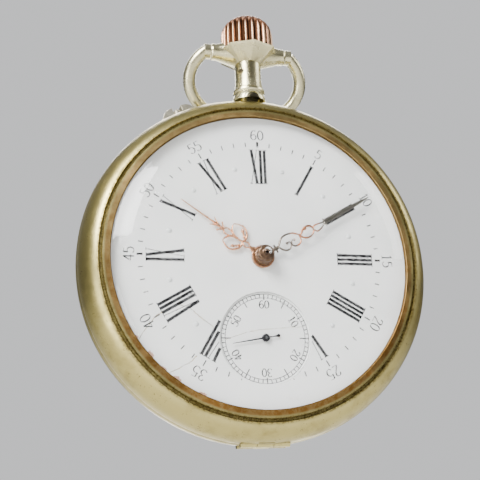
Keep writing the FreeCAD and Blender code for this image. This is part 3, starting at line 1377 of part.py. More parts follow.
def screw_shape(x, z, head, head_low, head_high, tip_level):
    shape = disc(head, head_low, head_high, x, z)
    shape = shape.fuse(disc(shank, head_high, tip_level, x, z))
    slot_cut = Part.makeBox(2.4 * num(head), 0.22, 0.26,
                            V(num(x) - 1.2 * num(head), -num(head_low) - 0.2, num(z) - 0.13))
    return shape.cut(slot_cut)


shapes = []
for name in sorted(screws_at):
    x, z = screws_at[name]
    low = {"cock": cock_low, "pallet": cock_top - 0.4}.get(name, bridge_level)
    deep = 0.4 if name == "pallet" else 0.5
    head = 0.8 if name == "pallet" else 1.0
    shapes.append(screw_shape(x, z, head, low, low + deep, plate_front - 0.1))
keep("bridge_screws", Part.makeCompound(shapes))
shapes = []
for x, z in case_screws_at:
    shapes.append(screw_shape(x, z, 1.5, cuvette_ledge - 0.35, cuvette_ledge, plate_front - 0.1))
keep("case_screws", Part.makeCompound(shapes))

# ------------------------------------------------------------------ export
doc.recompute()
for item in doc.Objects:
    if "Invalid" in item.State or "Error" in item.State:
        raise RuntimeError("%s did not recompute" % item.Label)
for name, item in nodes.items():
    if item.Shape.isNull() or not item.Shape.isValid():
        raise RuntimeError("%s has no valid shape" % name)
os.makedirs("parts", exist_ok=True)
for name, item in nodes.items():
    item.Shape.exportStep("parts/%s.step" % name)
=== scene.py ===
import math
import random

import bmesh
import bpy
from mathutils import Matrix, Vector


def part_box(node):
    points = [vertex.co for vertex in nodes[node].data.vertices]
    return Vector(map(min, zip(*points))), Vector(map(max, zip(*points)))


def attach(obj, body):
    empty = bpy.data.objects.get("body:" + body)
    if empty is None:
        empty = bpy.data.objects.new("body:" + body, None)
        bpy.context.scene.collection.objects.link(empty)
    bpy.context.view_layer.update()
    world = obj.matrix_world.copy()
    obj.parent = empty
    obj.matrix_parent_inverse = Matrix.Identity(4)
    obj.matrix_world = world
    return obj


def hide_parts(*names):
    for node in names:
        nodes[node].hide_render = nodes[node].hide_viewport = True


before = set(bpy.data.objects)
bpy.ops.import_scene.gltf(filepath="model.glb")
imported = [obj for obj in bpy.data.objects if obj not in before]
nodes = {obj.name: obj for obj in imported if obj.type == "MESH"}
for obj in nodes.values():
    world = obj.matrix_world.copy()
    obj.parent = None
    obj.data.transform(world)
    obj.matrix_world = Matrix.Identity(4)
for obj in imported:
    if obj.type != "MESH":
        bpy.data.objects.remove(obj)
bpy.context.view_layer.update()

MM = 0.001
random.seed(7)

# Levels and radii that the frame was built with, in millimetres
DIAL_FACE = 9.2
SECONDS_FACE = 8.9
SECONDS_DROP = 11.2
SECONDS_EDGE = 6.3
STEM_LEVEL = 6.0
CROWN_BASE = 33.4
JOINT_LEVEL = 6.28
HOUR_LEVEL = 9.6
MINUTE_LEVEL = 10.1
SECONDS_LEVEL = 9.2
HAND_THICK = 0.18

# Thickness of the print in millimetres, and turns of the hands from twelve in degrees
INK = 0.014
HOUR_TURN = 305.0
MINUTE_TURN = 60.0
SECONDS_TURN = 260.4

# Flutes round the crown, and points across each of them
FLUTES = 24
FLUTE_STEPS = 14


# ------------------------------------------------------------ mesh helpers
def make_piece(name, points, faces, finish, body, slot, sharp=35.0):
    """A mesh piece from points in millimetres (x, level, z), riding on a body."""
    mesh = bpy.data.meshes.new(name)
    mesh.from_pydata([(x * MM, -level * MM, z * MM) for x, level, z in points], [], faces)
    mesh.update()
    tidy = bmesh.new()
    tidy.from_mesh(mesh)
    bmesh.ops.remove_doubles(tidy, verts=tidy.verts, dist=1e-7)
    bmesh.ops.dissolve_degenerate(tidy, edges=tidy.edges, dist=1e-8)
    bmesh.ops.recalc_face_normals(tidy, faces=tidy.faces)
    tidy.to_mesh(mesh)
    tidy.free()
    mesh.shade_smooth()
    mesh.set_sharp_from_angle(angle=math.radians(sharp))
    piece = bpy.data.objects.new(name, mesh)
    bpy.context.collection.objects.link(piece)
    mesh.materials.append(finish)
    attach(piece, body)
    return piece


def eased(outline, cut, steps):
    """The closed outline, with each corner off the turning axis replaced by a small curve."""
    out = []
    count = len(outline)
    for k in range(count):
        before = Vector(outline[k - 1])
        here = Vector(outline[k])
        after = Vector(outline[(k + 1) % count])
        if here[0] < 1e-6:
            out.append(tuple(here))
            continue
        reach_in = min(cut, (before - here).length * 0.45)
        reach_out = min(cut, (after - here).length * 0.45)
        start = here + (before - here).normalized() * reach_in
        end = here + (after - here).normalized() * reach_out
        for i in range(steps + 1):
            t = i / steps
            out.append(tuple(start * (1 - t) ** 2 + here * 2 * t * (1 - t) + end * t * t))
    return out


def skin(rows, size, closed=False):
    """Faces between rows of points, each row a ring; closed also joins the last to the first."""
    faces = []
    for k in range(rows if closed else rows - 1):
        near = k * size
        far = (k + 1) % rows * size
        for i in range(size):
            j = (i + 1) % size
            faces.append((near + i, near + j, far + j, far + i))
    return faces


def turned(outline, around, centre=(0.0, 0.0)):
    """Points and faces of a closed (radius, level) outline turned about the level axis."""
    points = []
    for k in range(around):
        angle = 2 * math.pi * k / around
        for radius, level in outline:
            points.append((centre[0] + radius * math.sin(angle), level,
                           centre[1] + radius * math.cos(angle)))
    return points, skin(around, len(outline), True)


def join_shapes(shapes):
    """Several (points, faces) pairs as one."""
    points = []
    faces = []
    for some_points, some_faces in shapes:
        shift = len(points)
        points.extend(some_points)
        faces.extend([tuple(i + shift for i in face) for face in some_faces])
    return points, faces


def strip(path, widths, low, top, crown=0.0):
    """A closed strip along a path on the dial; crown rounds its upper face."""
    section = [(-1.0, 0.0), (-1.0, 1.0 - crown), (-0.6, 1.0 - crown * 0.35), (0.0, 1.0),
               (0.6, 1.0 - crown * 0.35), (1.0, 1.0 - crown), (1.0, 0.0)]
    if crown == 0.0:
        section = [(-1.0, 0.0), (-1.0, 1.0), (1.0, 1.0), (1.0, 0.0)]
    points = []
    size = len(section)
    last = len(path) - 1
    for k in range(last + 1):
        before = path[max(k - 1, 0)]
        after = path[min(k + 1, last)]
        dx, dz = after[0] - before[0], after[1] - before[1]
        length = math.hypot(dx, dz) or 1e-9
        half = widths[k] / 2.0
        for across, height in section:
            points.append((path[k][0] + dz / length * half * across,
                           low + (top - low) * height,
                           path[k][1] - dx / length * half * across))
    faces = skin(last + 1, size)
    faces.append(tuple(range(size))[::-1])
    faces.append(tuple(last * size + i for i in range(size)))
    return points, faces


def smooth_path(knots, steps=6):
    """A smooth run of points through the knots."""
    out = []
    for k in range(len(knots) - 1):
        a = Vector(knots[max(k - 1, 0)])
        b = Vector(knots[k])
        c = Vector(knots[k + 1])
        d = Vector(knots[min(k + 2, len(knots) - 1)])
        for i in range(steps):
            t = i / steps
            out.append(tuple(0.5 * ((2 * b) + (c - a) * t + (2 * a - 5 * b + 4 * c - d) * t * t
                                    + (3 * b - a - 3 * c + d) * t ** 3)))
    out.append(tuple(knots[-1]))
    return out


def spread(values, count):
    """Values stretched evenly over the given number of points."""
    out = []
    for k in range(count):
        place = k / (count - 1) * (len(values) - 1)
        low = min(int(place), len(values) - 2)
        out.append(values[low] + (values[low + 1] - values[low]) * (place - low))
    return out


def on_dial(angle, across, out, centre=(0.0, 0.0)):
    """Point of the dial at an angle clockwise from twelve, an offset across and a radius."""
    a = math.radians(angle)
    return (centre[0] + out * math.sin(a) + across * math.cos(a),
            centre[1] + out * math.cos(a) - across * math.sin(a))


def turn_shape(shape, degrees, centre=(0.0, 0.0)):
    """The shape turned clockwise, seen from the dial, about the centre."""
    a = math.radians(degrees)
    points, faces = shape
    return [(centre[0] + x * math.cos(a) + z * math.sin(a), level,
             centre[1] - x * math.sin(a) + z * math.cos(a)) for x, level, z in points], faces


# ----------------------------------------------------------- node helpers
def put(tree, kind, inputs=None, **settings):
    """Add a node, set its properties and fill its inputs with values or links."""
    made = tree.nodes.new(kind)
    for key, value in settings.items():
        setattr(made, key, value)
    for key, value in (inputs or {}).items():
        socket = made.inputs[key]
        if isinstance(value, bpy.types.NodeSocket):
            tree.links.new(value, socket)
        else:
            socket.default_value = value
    return made


def sums(tree, operation, a, b=0.0, c=0.0, clamp=False):
    """Output of one math node."""
    return put(tree, "ShaderNodeMath", {0: a, 1: b, 2: c}, operation=operation,
               use_clamp=clamp).outputs[0]


def times(tree, a, b):
    """Product of two values."""
    return sums(tree, "MULTIPLY", a, b)


def scaled(tree, a, b, c):
    """Product of two values, plus a third."""
    return sums(tree, "MULTIPLY_ADD", a, b, c)


def noise(tree, place, scale, detail=4.0, rough=0.55):
    """Factor of a noise texture."""
    return put(tree, "ShaderNodeTexNoise", {"Vector": place, "Scale": scale, "Detail": detail,
                                            "Roughness": rough}).outputs[0]


def step_up(tree, value, low, high):
    """Smooth ramp from 0 to 1 between two values."""
    return put(tree, "ShaderNodeMapRange", {0: value, 1: low, 2: high},
               interpolation_type="SMOOTHSTEP", clamp=True).outputs[0]


def step_down(tree, value, low, high):
    """Smooth ramp from 1 to 0 between two values."""
    return sums(tree, "SUBTRACT", 1.0, step_up(tree, value, low, high))


def parts(tree, place):
    """The three coordinates of a place."""
    return put(tree, "ShaderNodeSeparateXYZ", {0: place}).outputs


def reach(tree, a, b):
    """Distance covered by two steps at right angles."""
    return sums(tree, "SQRT", scaled(tree, a, a, times(tree, b, b)))


def blend(tree, factor, first, second):
    """Mix two colours."""
    return put(tree, "ShaderNodeMix", {0: factor, 6: first, 7: second},
               data_type="RGBA").outputs[2]


def new_group(name, outputs, **inputs):
    """Empty effect group; an input given as None is a vector, all others are numbers."""
    tree = bpy.data.node_groups.new(name, "ShaderNodeTree")
    for label, default in inputs.items():
        kind = "NodeSocketVector" if default is None else "NodeSocketFloat"
        socket = tree.interface.new_socket(label, in_out="INPUT", socket_type=kind)
        if default is not None:
            socket.default_value = default
    for label in outputs:
        tree.interface.new_socket(label, in_out="OUTPUT", socket_type="NodeSocketFloat")
    entry = tree.nodes.new("NodeGroupInput")
    result = tree.nodes.new("NodeGroupOutput")
    return tree, entry.outputs, result.inputs


def build_tarnish():
    """Soft uneven patches, such as tarnish, with a broken edge."""
    tree, given, result = new_group("tarnish", ["Mask"], Place=None, Size=5.0, Cover=0.5,
                                    Softness=0.2)
    scale = sums(tree, "DIVIDE", 1.0, given["Size"])
    broad = noise(tree, given["Place"], scale, 3.0)
    fine = noise(tree, given["Place"], times(tree, scale, 6.0), 5.0, 0.65)
    both = scaled(tree, broad, 0.7, times(tree, fine, 0.3))
    low = scaled(tree, given["Cover"], -0.4, 0.68)
    high = sums(tree, "ADD", low, given["Softness"])
    tree.links.new(step_up(tree, both, low, high), result["Mask"])
    return tree


def build_specks():
    """Small scattered spots, such as dirt in pits."""
    tree, given, result = new_group("specks", ["Mask"], Place=None, Size=0.6, Cover=0.3)
    scale = sums(tree, "DIVIDE", 1.0, given["Size"])
    bent = put(tree, "ShaderNodeTexNoise", {"Vector": given["Place"], "Scale": scale}).outputs[1]
    moved = put(tree, "ShaderNodeVectorMath", {0: given["Place"], 1: bent},
                operation="ADD").outputs[0]
    cells = put(tree, "ShaderNodeTexVoronoi", {"Vector": moved, "Scale": scale}).outputs[0]
    spot = step_down(tree, cells, 0.1, 0.32)
    gate_at = noise(tree, given["Place"], times(tree, scale, 0.3), 2.0)
    low = scaled(tree, given["Cover"], -0.3, 0.68)
    gate = step_up(tree, gate_at, low, sums(tree, "ADD", low, 0.06))
    tree.links.new(times(tree, spot, gate), result["Mask"])
    return tree


def build_scratches():
    """Fine crossing hairlines from handling."""
    tree, given, result = new_group("hairlines", ["Mask"], Place=None, Size=3.0, Amount=0.5)
    scale = sums(tree, "DIVIDE", 1.0, given["Size"])
    found = None
    for turn, shift in ((0.5, 0.0), (1.7, 3.0), (2.6, 9.0)):
        laid = put(tree, "ShaderNodeMapping",
                   {0: given["Place"], 1: (shift, shift, shift), 2: (turn, turn * 0.7, turn * 1.3),
                    3: (0.22, 9.0, 5.0)}).outputs[0]
        ridge = sums(tree, "ABSOLUTE", sums(tree, "SUBTRACT", noise(tree, laid, scale, 2.0), 0.5))
        line = step_down(tree, ridge, 0.0, 0.02)
        gate_at = noise(tree, given["Place"], times(tree, scale, 1.1 + turn), 1.0)
        line = times(tree, line, step_up(tree, gate_at, 0.52, 0.62))
        found = line if found is None else sums(tree, "MAXIMUM", found, line)
    tree.links.new(times(tree, found, given["Amount"]), result["Mask"])
    return tree


def build_edge_wear():
    """Bright wear on edges that stand out, and darkening where surfaces meet, part grime and part
    painted shade.
    """
    tree, given, result = new_group("wear_and_corner_shade", ["Edge", "Corner"], Place=None, Amount=1.0)
    bend = put(tree, "ShaderNodeNewGeometry").outputs["Pointiness"]
    broken = scaled(tree, noise(tree, given["Place"], 1.2), 0.8, 0.3)
    edge = step_up(tree, bend, 0.515, 0.56)
    # Corner mask: grime and painted shade where surfaces meet.
    corner = step_down(tree, bend, 0.45, 0.492)
    strength = times(tree, broken, given["Amount"])
    for mask, label in ((edge, "Edge"), (corner, "Corner")):
        tree.links.new(sums(tree, "MULTIPLY", mask, strength, clamp=True), result[label])
    return tree


def build_ring():
    """Mask of a ring about an axis through the dial, between two radii."""
    tree, given, result = new_group("ring", ["Mask", "Radius"], Place=None, Across=0.0, Up=0.0,
                                    Inner=1.0, Outer=2.0, Soft=0.1)
    split = parts(tree, given["Place"])
    radius = reach(tree, sums(tree, "SUBTRACT", split[0], given["Across"]),
                   sums(tree, "SUBTRACT", split[2], given["Up"]))
    rise = step_up(tree, radius, sums(tree, "SUBTRACT", given["Inner"], given["Soft"]),
                   given["Inner"])
    fall = step_down(tree, radius, given["Outer"],
                     sums(tree, "ADD", given["Outer"], given["Soft"]))
    tree.links.new(times(tree, rise, fall), result["Mask"])
    tree.links.new(radius, result["Radius"])
    return tree


def build_turned_grain():
    """Fine concentric lines left by turning, for a given radius."""
    tree, given, result = new_group("turned_grain", ["Height"], Radius=1.0, Fineness=12.0)
    line = put(tree, "ShaderNodeCombineXYZ", {0: given["Radius"]}).outputs[0]
    tree.links.new(noise(tree, line, given["Fineness"], 6.0, 0.7), result["Height"])
    return tree


def build_stripes():
    """Broad polished stripes across a plate."""
    tree, given, result = new_group("stripes", ["Height", "Mask"], Place=None, Width=1.6)
    split = parts(tree, given["Place"])
    slant = scaled(tree, split[0], 0.8, times(tree, split[2], 0.6))
    saw = sums(tree, "FRACT", sums(tree, "DIVIDE", slant, given["Width"]))
    arc = times(tree, times(tree, saw, sums(tree, "SUBTRACT", 1.0, saw)), 4.0)
    tree.links.new(arc, result["Height"])
    tree.links.new(step_up(tree, saw, 0.1, 0.9), result["Mask"])
    return tree


tarnish = build_tarnish()
specks = build_specks()
hairlines = build_scratches()
wear_and_corner_shade = build_edge_wear()
ring = build_ring()
turned_grain = build_turned_grain()
stripes = build_stripes()


def use(tree, group, **values):
    """Outputs of an effect group, with its inputs filled by name."""
    return put(tree, "ShaderNodeGroup", values, node_tree=group).outputs


def new_finish(name, **fixed):
    """Material with a principled shader, its place in millimetres and fixed values."""
    finish = bpy.data.materials.new(name)
    finish.use_nodes = True
    tree = finish.node_tree
    shader = tree.nodes["Principled BSDF"]
    for label, value in fixed.items():
        shader.inputs[label.replace("_", " ").title().replace("Ior", "IOR")].default_value = value
    spot = put(tree, "ShaderNodeTexCoord").outputs["Object"]
    place = put(tree, "ShaderNodeVectorMath", {0: spot, 3: 1 / MM}, operation="SCALE").outputs[0]
    return finish, tree, shader, place


def paint(tree, shader, tone, gloss, height=None, depth=0.0):
    """Feed a colour and a roughness to the shader, and a height of some depth if there is one."""
    tree.links.new(tone, shader.inputs["Base Color"])
    tree.links.new(gloss, shader.inputs["Roughness"])
    if height:
        bump = put(tree, "ShaderNodeBump", {"Height": height, "Distance": depth * MM,
                                            "Strength": 1.0})
        tree.links.new(bump.outputs[0], shader.inputs["Normal"])


def colour(red, green, blue):
    """Linear colour from display values between 0 and 255."""
    out = []
    for value in (red, green, blue):
        v = value / 255.0
        out.append(v / 12.92 if v <= 0.04045 else ((v + 0.055) / 1.055) ** 2.4)
    return tuple(out) + (1.0,)


# --------------------------------------------------------------- finishes
def metal(name, clean, dull, dirt, rough=0.3, size=5.0, cover=0.5, dirt_cover=0.3,
          lines=0.2, wear=0.8, spot=0.3, extra=None):
    """A metal with tarnish patches, dirt specks, hairlines and worn edges."""
    finish, tree, shader, place = new_finish(name, metallic=1.0)
    clean, dull, dirt = colour(*clean), colour(*dull), colour(*dirt)
    patches = use(tree, tarnish, Place=place, Size=size, Cover=cover, Softness=0.22)["Mask"]
    spots = use(tree, specks, Place=place, Size=spot, Cover=dirt_cover)["Mask"]
    hair = use(tree, hairlines, Place=place, Size=2.4, Amount=lines)["Mask"]
    worn = use(tree, wear_and_corner_shade, Place=place, Amount=wear)
    tone = blend(tree, patches, clean, dull)
    tone = blend(tree, times(tree, spots, 0.75), tone, dirt)
    # Darkening in hollow corners: grime and painted shade.
    tone = blend(tree, worn["Corner"], tone, dirt)
    bright = tuple(min(1.0, c * 1.25 + 0.05) for c in clean[:3]) + (1.0,)
    tone = blend(tree, sums(tree, "MAXIMUM", worn["Edge"], times(tree, hair, 0.35)), tone, bright)
    gloss = scaled(tree, patches, 0.16, rough)
    gloss = scaled(tree, spots, 0.25, gloss)
    gloss = scaled(tree, noise(tree, place, 0.9, 5.0), 0.12, gloss)
    height = sums(tree, "SUBTRACT", times(tree, noise(tree, place, 0.35, 3.0), 0.5),
                  scaled(tree, hair, 0.12, times(tree, spots, 0.2)))
    if extra:
        tone, gloss, height = extra(tree, place, tone, gloss, height)
    paint(tree, shader, tone, sums(tree, "MINIMUM", gloss, 0.85), height, 0.05)
    return finish


def case_marks(tree, place, tone, gloss, height):
    """Copper lip with painted shade towards the bottom, dirty groove, painted shade where the
    glass sits, a painted highlight line at the joint and painted shade on the back part of the
    case.
    """
    lip = use(tree, ring, Place=place, Inner=20.5, Outer=21.45, Soft=0.35)["Mask"]
    groove = use(tree, ring, Place=place, Inner=21.95, Outer=22.5, Soft=0.3)["Mask"]
    # Painted shade: a dark ring at the inner edge of the bezel where the glass sits.
    mouth_shade = use(tree, ring, Place=place, Inner=20.6, Outer=20.86, Soft=0.12)["Mask"]
    split = parts(tree, place)
    level = times(tree, split[1], -1.0)
    front = step_up(tree, level, 9.1, 9.4)
    # Painted shade: the copper lip is drawn darker towards the bottom of the case, mixed with a
    # random broken tone.
    lower_shade = step_up(tree, split[2], 14.0, -16.0)
    broken = step_up(tree, noise(tree, place, 1.1, 6.0, 0.72), 0.38, 0.62)
    grains = step_up(tree, noise(tree, place, 3.2, 4.0, 0.7), 0.46, 0.6)
    copper = blend(tree, scaled(tree, lower_shade, 0.6, times(tree, broken, 0.4)),
                   colour(190, 160, 104), colour(134, 84, 28))
    tone = blend(tree, times(tree, times(tree, lip, front), 0.85), tone, copper)
    # dirt holds the real dirt of the groove together with the painted shade at the glass edge.
    dirt = times(tree, times(tree, groove, front), scaled(tree, grains, 0.55, 0.2))
    dirt = sums(tree, "MAXIMUM", dirt, times(tree, times(tree, mouth_shade, front), 0.8))
    tone = blend(tree, dirt, tone, colour(64, 44, 20))
    gloss = scaled(tree, dirt, 0.35, gloss)
    # Painted highlight: a bright pale line along the joint of the case.
    off_joint = sums(tree, "ABSOLUTE", sums(tree, "SUBTRACT", level, JOINT_LEVEL))
    joint = step_down(tree, off_joint, 0.05, 0.14)
    tone = blend(tree, times(tree, joint, scaled(tree, grains, 0.5, 0.4)), tone,
                 colour(250, 240, 205))
    # Painted shade: the case is darkened from the joint towards its back.
    shade = times(tree, step_up(tree, level, 6.2, 4.0), 0.45)
    tone = blend(tree, shade, tone, colour(104, 90, 44))
    return tone, gloss, height


def neck_marks(tree, place, tone, gloss, height):
    """Painted shade in an arch at the foot of the neck, and a small stained pit higher up its
    front.
    """
    split = parts(tree, place)
    ahead = step_up(tree, times(tree, split[1], -1.0), 6.6, 7.0)
    rise = sums(tree, "SUBTRACT", split[2], 25.1)
    arch = sums(tree, "SQRT", scaled(tree, split[0], split[0],
                                     times(tree, times(tree, rise, rise), 1.6)))
    # Painted shade: a dark arch in the notch at the foot of the neck.
    arch_shade = times(tree, step_down(tree, arch, 1.0, 1.2), ahead)
    tone = blend(tree, times(tree, arch_shade, 0.85), tone, colour(46, 40, 30))
    hole = reach(tree, sums(tree, "ADD", split[0], 1.5), sums(tree, "SUBTRACT", split[2], 29.9))
    pit = times(tree, step_down(tree, hole, 0.18, 0.5), ahead)
    tone = blend(tree, times(tree, pit, 0.8), tone, colour(74, 58, 34))
    return tone, gloss, scaled(tree, pit, -1.2, height)


def crown_marks(tree, place, tone, gloss, height):
    """Painted shade in the flutes and rubbed ribs on the crown."""
    split = parts(tree, place)
    radius = reach(tree, split[0], sums(tree, "ADD", split[1], STEM_LEVEL))
    sides = step_down(tree, split[2], CROWN_BASE + 4.2, CROWN_BASE + 5.2)
    # Painted shade: the flutes are darkened down to a deep brown.
    deep = times(tree, step_down(tree, radius, 3.6, 3.9), sides)
    deep = times(tree, deep, step_up(tree, split[2], CROWN_BASE + 0.02, CROWN_BASE + 0.1))
    tone = blend(tree, deep, tone, colour(66, 42, 26))
    ribs = times(tree, step_up(tree, radius, 3.8, 3.98), sides)
    tone = blend(tree, times(tree, ribs, 0.5), tone, colour(214, 190, 150))
    return tone, scaled(tree, deep, 0.3, gloss), height


def minute_marks(tree, place, tone, gloss, height):
    """Copper colour on the middle loops of the minute hand, and grey on its blade."""
    loops = use(tree, ring, Place=place, Inner=5.3, Outer=9.3, Soft=0.5)["Mask"]
    spread_out = step_up(tree, noise(tree, place, 1.1, 3.0), 0.3, 0.56)
    tone = blend(tree, times(tree, loops, spread_out), tone, colour(182, 120, 84))
    blade = use(tree, ring, Place=place, Inner=9.9, Outer=20.0, Soft=0.4)["Mask"]
    tone = blend(tree, times(tree, blade, 0.7), tone, colour(120, 118, 110))
    return tone, gloss, height


def striped(tree, place, tone, gloss, height):
    """Polished stripes on the bridges."""
    bands = use(tree, stripes, Place=place, Width=1.7)
    tone = blend(tree, times(tree, bands["Mask"], 0.3), tone, colour(236, 232, 222))
    return tone, gloss, scaled(tree, bands["Height"], 0.8, height)


def about(node):
    """Extra marks: turning lines about the middle of a round part."""
    low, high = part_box(node)
    middle = (low + high) / 2 / MM

    def marks(tree, place, tone, gloss, height):
        found = use(tree, ring, Place=place, Across=middle.x, Up=middle.z, Inner=0.0,
                    Outer=30.0, Soft=0.1)
        grain = use(tree, turned_grain, Radius=found["Radius"], Fineness=9.0)["Height"]
        return tone, scaled(tree, grain, 0.14, gloss), scaled(tree, grain, 0.35, height)
    return marks


case_metal = metal("tarnished_nickel_silver", (170, 157, 98), (128, 115, 60), (66, 52, 24),
                   rough=0.25, size=9.0, cover=0.6, dirt_cover=0.5, lines=0.55, wear=0.9,
                   spot=0.42, extra=case_marks)
cover_metal = metal("satin_back_nickel_silver", (186, 175, 118), (150, 137, 82), (92, 76, 44),
                    rough=0.25, size=12.0, dirt_cover=0.24, lines=0.9, spot=0.4)
inner_metal = metal("inner_cover_nickel_silver", (206, 198, 160), (176, 164, 118),
                    (110, 92, 56), rough=0.2, size=8.0, cover=0.35, dirt_cover=0.2, lines=0.8,
                    wear=0.6, spot=0.5, extra=about("cuvette"))
pendant_metal = metal("pendant_nickel_silver", (206, 198, 158), (160, 150, 104), (96, 82, 50),
                      rough=0.2, size=4.0, cover=0.35, lines=0.6, spot=0.35, extra=neck_marks)
bow_metal = metal("bow_nickel_silver", (204, 197, 160), (158, 148, 104), (100, 84, 52),
                  rough=0.22, size=3.5, cover=0.35, dirt_cover=0.25, lines=0.6, wear=0.7)
guard_metal = metal("worn_guard_steel", (206, 200, 180), (150, 142, 112), (64, 54, 36),
                    size=1.6, dirt_cover=0.6, lines=0.9, wear=1.0, spot=0.25)
crown_metal = metal("worn_crown_gilding", (190, 140, 112), (140, 94, 68), (60, 38, 22),
                    rough=0.26, size=1.8, cover=0.45, dirt_cover=0.35, lines=0.5,
                    extra=crown_marks)
rose_gilding = metal("rose_gilding", (196, 142, 104), (150, 98, 66), (70, 42, 26), rough=0.2,
                     size=1.4, cover=0.45, wear=0.9)
dark_hand_steel = metal("dark_hand_steel", (98, 88, 78), (58, 50, 44), (28, 24, 20),
                        rough=0.24, size=2.0, dirt_cover=0.2, wear=0.7, extra=minute_marks)
cap_bronze = metal("cap_bronze", (96, 74, 56), (62, 44, 32), (26, 18, 12), rough=0.34,
                   size=0.9, dirt_cover=0.4, lines=0.4, wear=0.9, spot=0.2)
black_steel = metal("black_seconds_steel", (46, 46, 50), (28, 28, 30), (12, 12, 12),
                    rough=0.25, size=1.0, wear=0.4, spot=0.2)
plate_metal = metal("nickel_plate", (206, 200, 186), (182, 174, 156), (120, 108, 84),
                    rough=0.22, size=6.0, cover=0.3, dirt_cover=0.12, lines=0.3, wear=0.7,
                    extra=striped)
base_plate_metal = metal("mainplate_nickel", (200, 194, 178), (178, 170, 150), (110, 98, 74),
                         cover=0.35, dirt_cover=0.15, lines=0.3, wear=0.6,
                         extra=about("mainplate"))
screw_steel = metal("polished_screw_steel", (176, 178, 182), (140, 142, 146), (60, 58, 54),
                    rough=0.14, size=1.0, cover=0.3, dirt_cover=0.1, wear=0.6, spot=0.2)
pin_steel = metal("hinge_pin_steel", (164, 160, 150), (128, 120, 100), (70, 60, 44),
                  size=1.0, dirt_cover=0.4, lines=0.4, wear=0.6, spot=0.2)
blued_steel = metal("blued_spring_steel", (64, 84, 160), (46, 58, 120), (30, 34, 60),
                    rough=0.2, size=1.2, cover=0.4, dirt_cover=0.1, wear=0.6, spot=0.2)


def brass_for(node):
    """Gilded wheel brass with turning lines about that wheel."""
    return metal("gilded_brass_" + node, (226, 188, 104), (200, 158, 78), (120, 86, 40),
                 rough=0.2, size=2.5, cover=0.4, dirt_cover=0.12, lines=0.3, wear=0.7,
                 spot=0.25, extra=about(node))


def steel_for(node):
    """Polished wheel steel with turning lines about that wheel."""
    return metal("snailed_steel_" + node, (184, 186, 190), (156, 158, 164), (90, 88, 84),
                 rough=0.16, size=2.5, cover=0.3, dirt_cover=0.1, lines=0.3, wear=0.7,
                 spot=0.25, extra=about(node))


def enamel_finish():
    """White fired enamel: a clear glaze with faint clouding, pinholes and age stains."""
    finish, tree, shader, place = new_finish("white_enamel", coat_weight=0.6,
                                             coat_roughness=0.04, ior=1.5)
    cloud = noise(tree, place, 0.12, 3.0)
    tone = blend(tree, step_up(tree, cloud, 0.3, 0.75), colour(246, 247, 245),
                 colour(237, 239, 238))
    holes = use(tree, specks, Place=place, Size=0.55, Cover=0.1)["Mask"]
    tone = blend(tree, times(tree, holes, 0.22), tone, colour(150, 146, 130))
    stain = use(tree, tarnish, Place=place, Size=2.6, Cover=0.3, Softness=0.2)["Mask"]
    rim = use(tree, ring, Place=place, Inner=19.8, Outer=22.0, Soft=1.4)["Mask"]
    tone = blend(tree, times(tree, times(tree, stain, rim), 0.3), tone, colour(214, 196, 178))
    height = sums(tree, "SUBTRACT", noise(tree, place, 0.5, 2.0), times(tree, holes, 0.5))
    paint(tree, shader, tone, scaled(tree, cloud, 0.12, 0.14), height, 0.02)
    return finish


def ink_finish():
    """Black fired numerals, thin enough in places to go grey."""
    finish, tree, shader, place = new_finish("dial_ink", coat_weight=0.4,
                                             coat_roughness=0.08)
    thin = step_up(tree, noise(tree, place, 1.6, 5.0, 0.7), 0.42, 0.72)
    tone = blend(tree, thin, colour(24, 24, 26), colour(66, 66, 68))
    paint(tree, shader, tone, scaled(tree, thin, 0.25, 0.25), noise(tree, place, 6.0, 3.0), 0.006)
    return finish


def crack_finish():
    """Old hairline cracks, stained from grey to yellow-brown."""
    finish, tree, shader, place = new_finish("stained_hairline")
    stain = step_up(tree, noise(tree, place, 0.45), 0.4, 0.62)
    tone = blend(tree, stain, colour(168, 164, 150), colour(176, 152, 96))
    paint(tree, shader, tone, scaled(tree, stain, 0.3, 0.4))
    shown = step_up(tree, noise(tree, place, 1.8, 5.0, 0.7), 0.3, 0.62)
    tree.links.new(shown, shader.inputs["Alpha"])
    return finish


def cloudy_finish(name, scale, dark, light, rough, **fixed):
    """A glossy, faintly clouded material between two colours."""
    finish, tree, shader, place = new_finish(name, coat_weight=1.0, **fixed)
    cloud = noise(tree, place, scale, 3.0)
    paint(tree, shader, blend(tree, cloud, dark, light), scaled(tree, cloud, 0.1, rough))
    return finish


def glass_finish():
    """Clear glass with hairlines; it lets light through to the dial without a hard shadow."""
    finish, tree, shader, place = new_finish("watch_glass", transmission_weight=1.0, ior=1.45)
    hair = use(tree, hairlines, Place=place, Size=3.0, Amount=0.6)["Mask"]
    smear = step_up(tree, noise(tree, place, 0.15, 3.0), 0.45, 0.8)
    tone = blend(tree, smear, colour(255, 255, 255), colour(250, 252, 250))
    paint(tree, shader, tone, scaled(tree, hair, 0.1, times(tree, smear, 0.03)), hair, 0.004)
    clear = put(tree, "ShaderNodeBsdfTransparent").outputs[0]
    path = put(tree, "ShaderNodeLightPath").outputs
    passing = sums(tree, "MAXIMUM", path["Is Shadow Ray"], path["Is Diffuse Ray"])
    both = put(tree, "ShaderNodeMixShader", {0: passing, 1: shader.outputs[0], 2: clear})
    tree.links.new(both.outputs[0], tree.nodes["Material Output"].inputs["Surface"])
    return finish


def paper_finish():
    """Pale matt floor."""
    finish, tree, shader, place = new_finish("pale_floor_paper")
    fibre = noise(tree, place, 0.2, 6.0, 0.7)
    tone = blend(tree, fibre, colour(226, 225, 222), colour(216, 215, 211))
    paint(tree, shader, tone, scaled(tree, fibre, 0.2, 0.6), fibre, 0.2)
    return finish


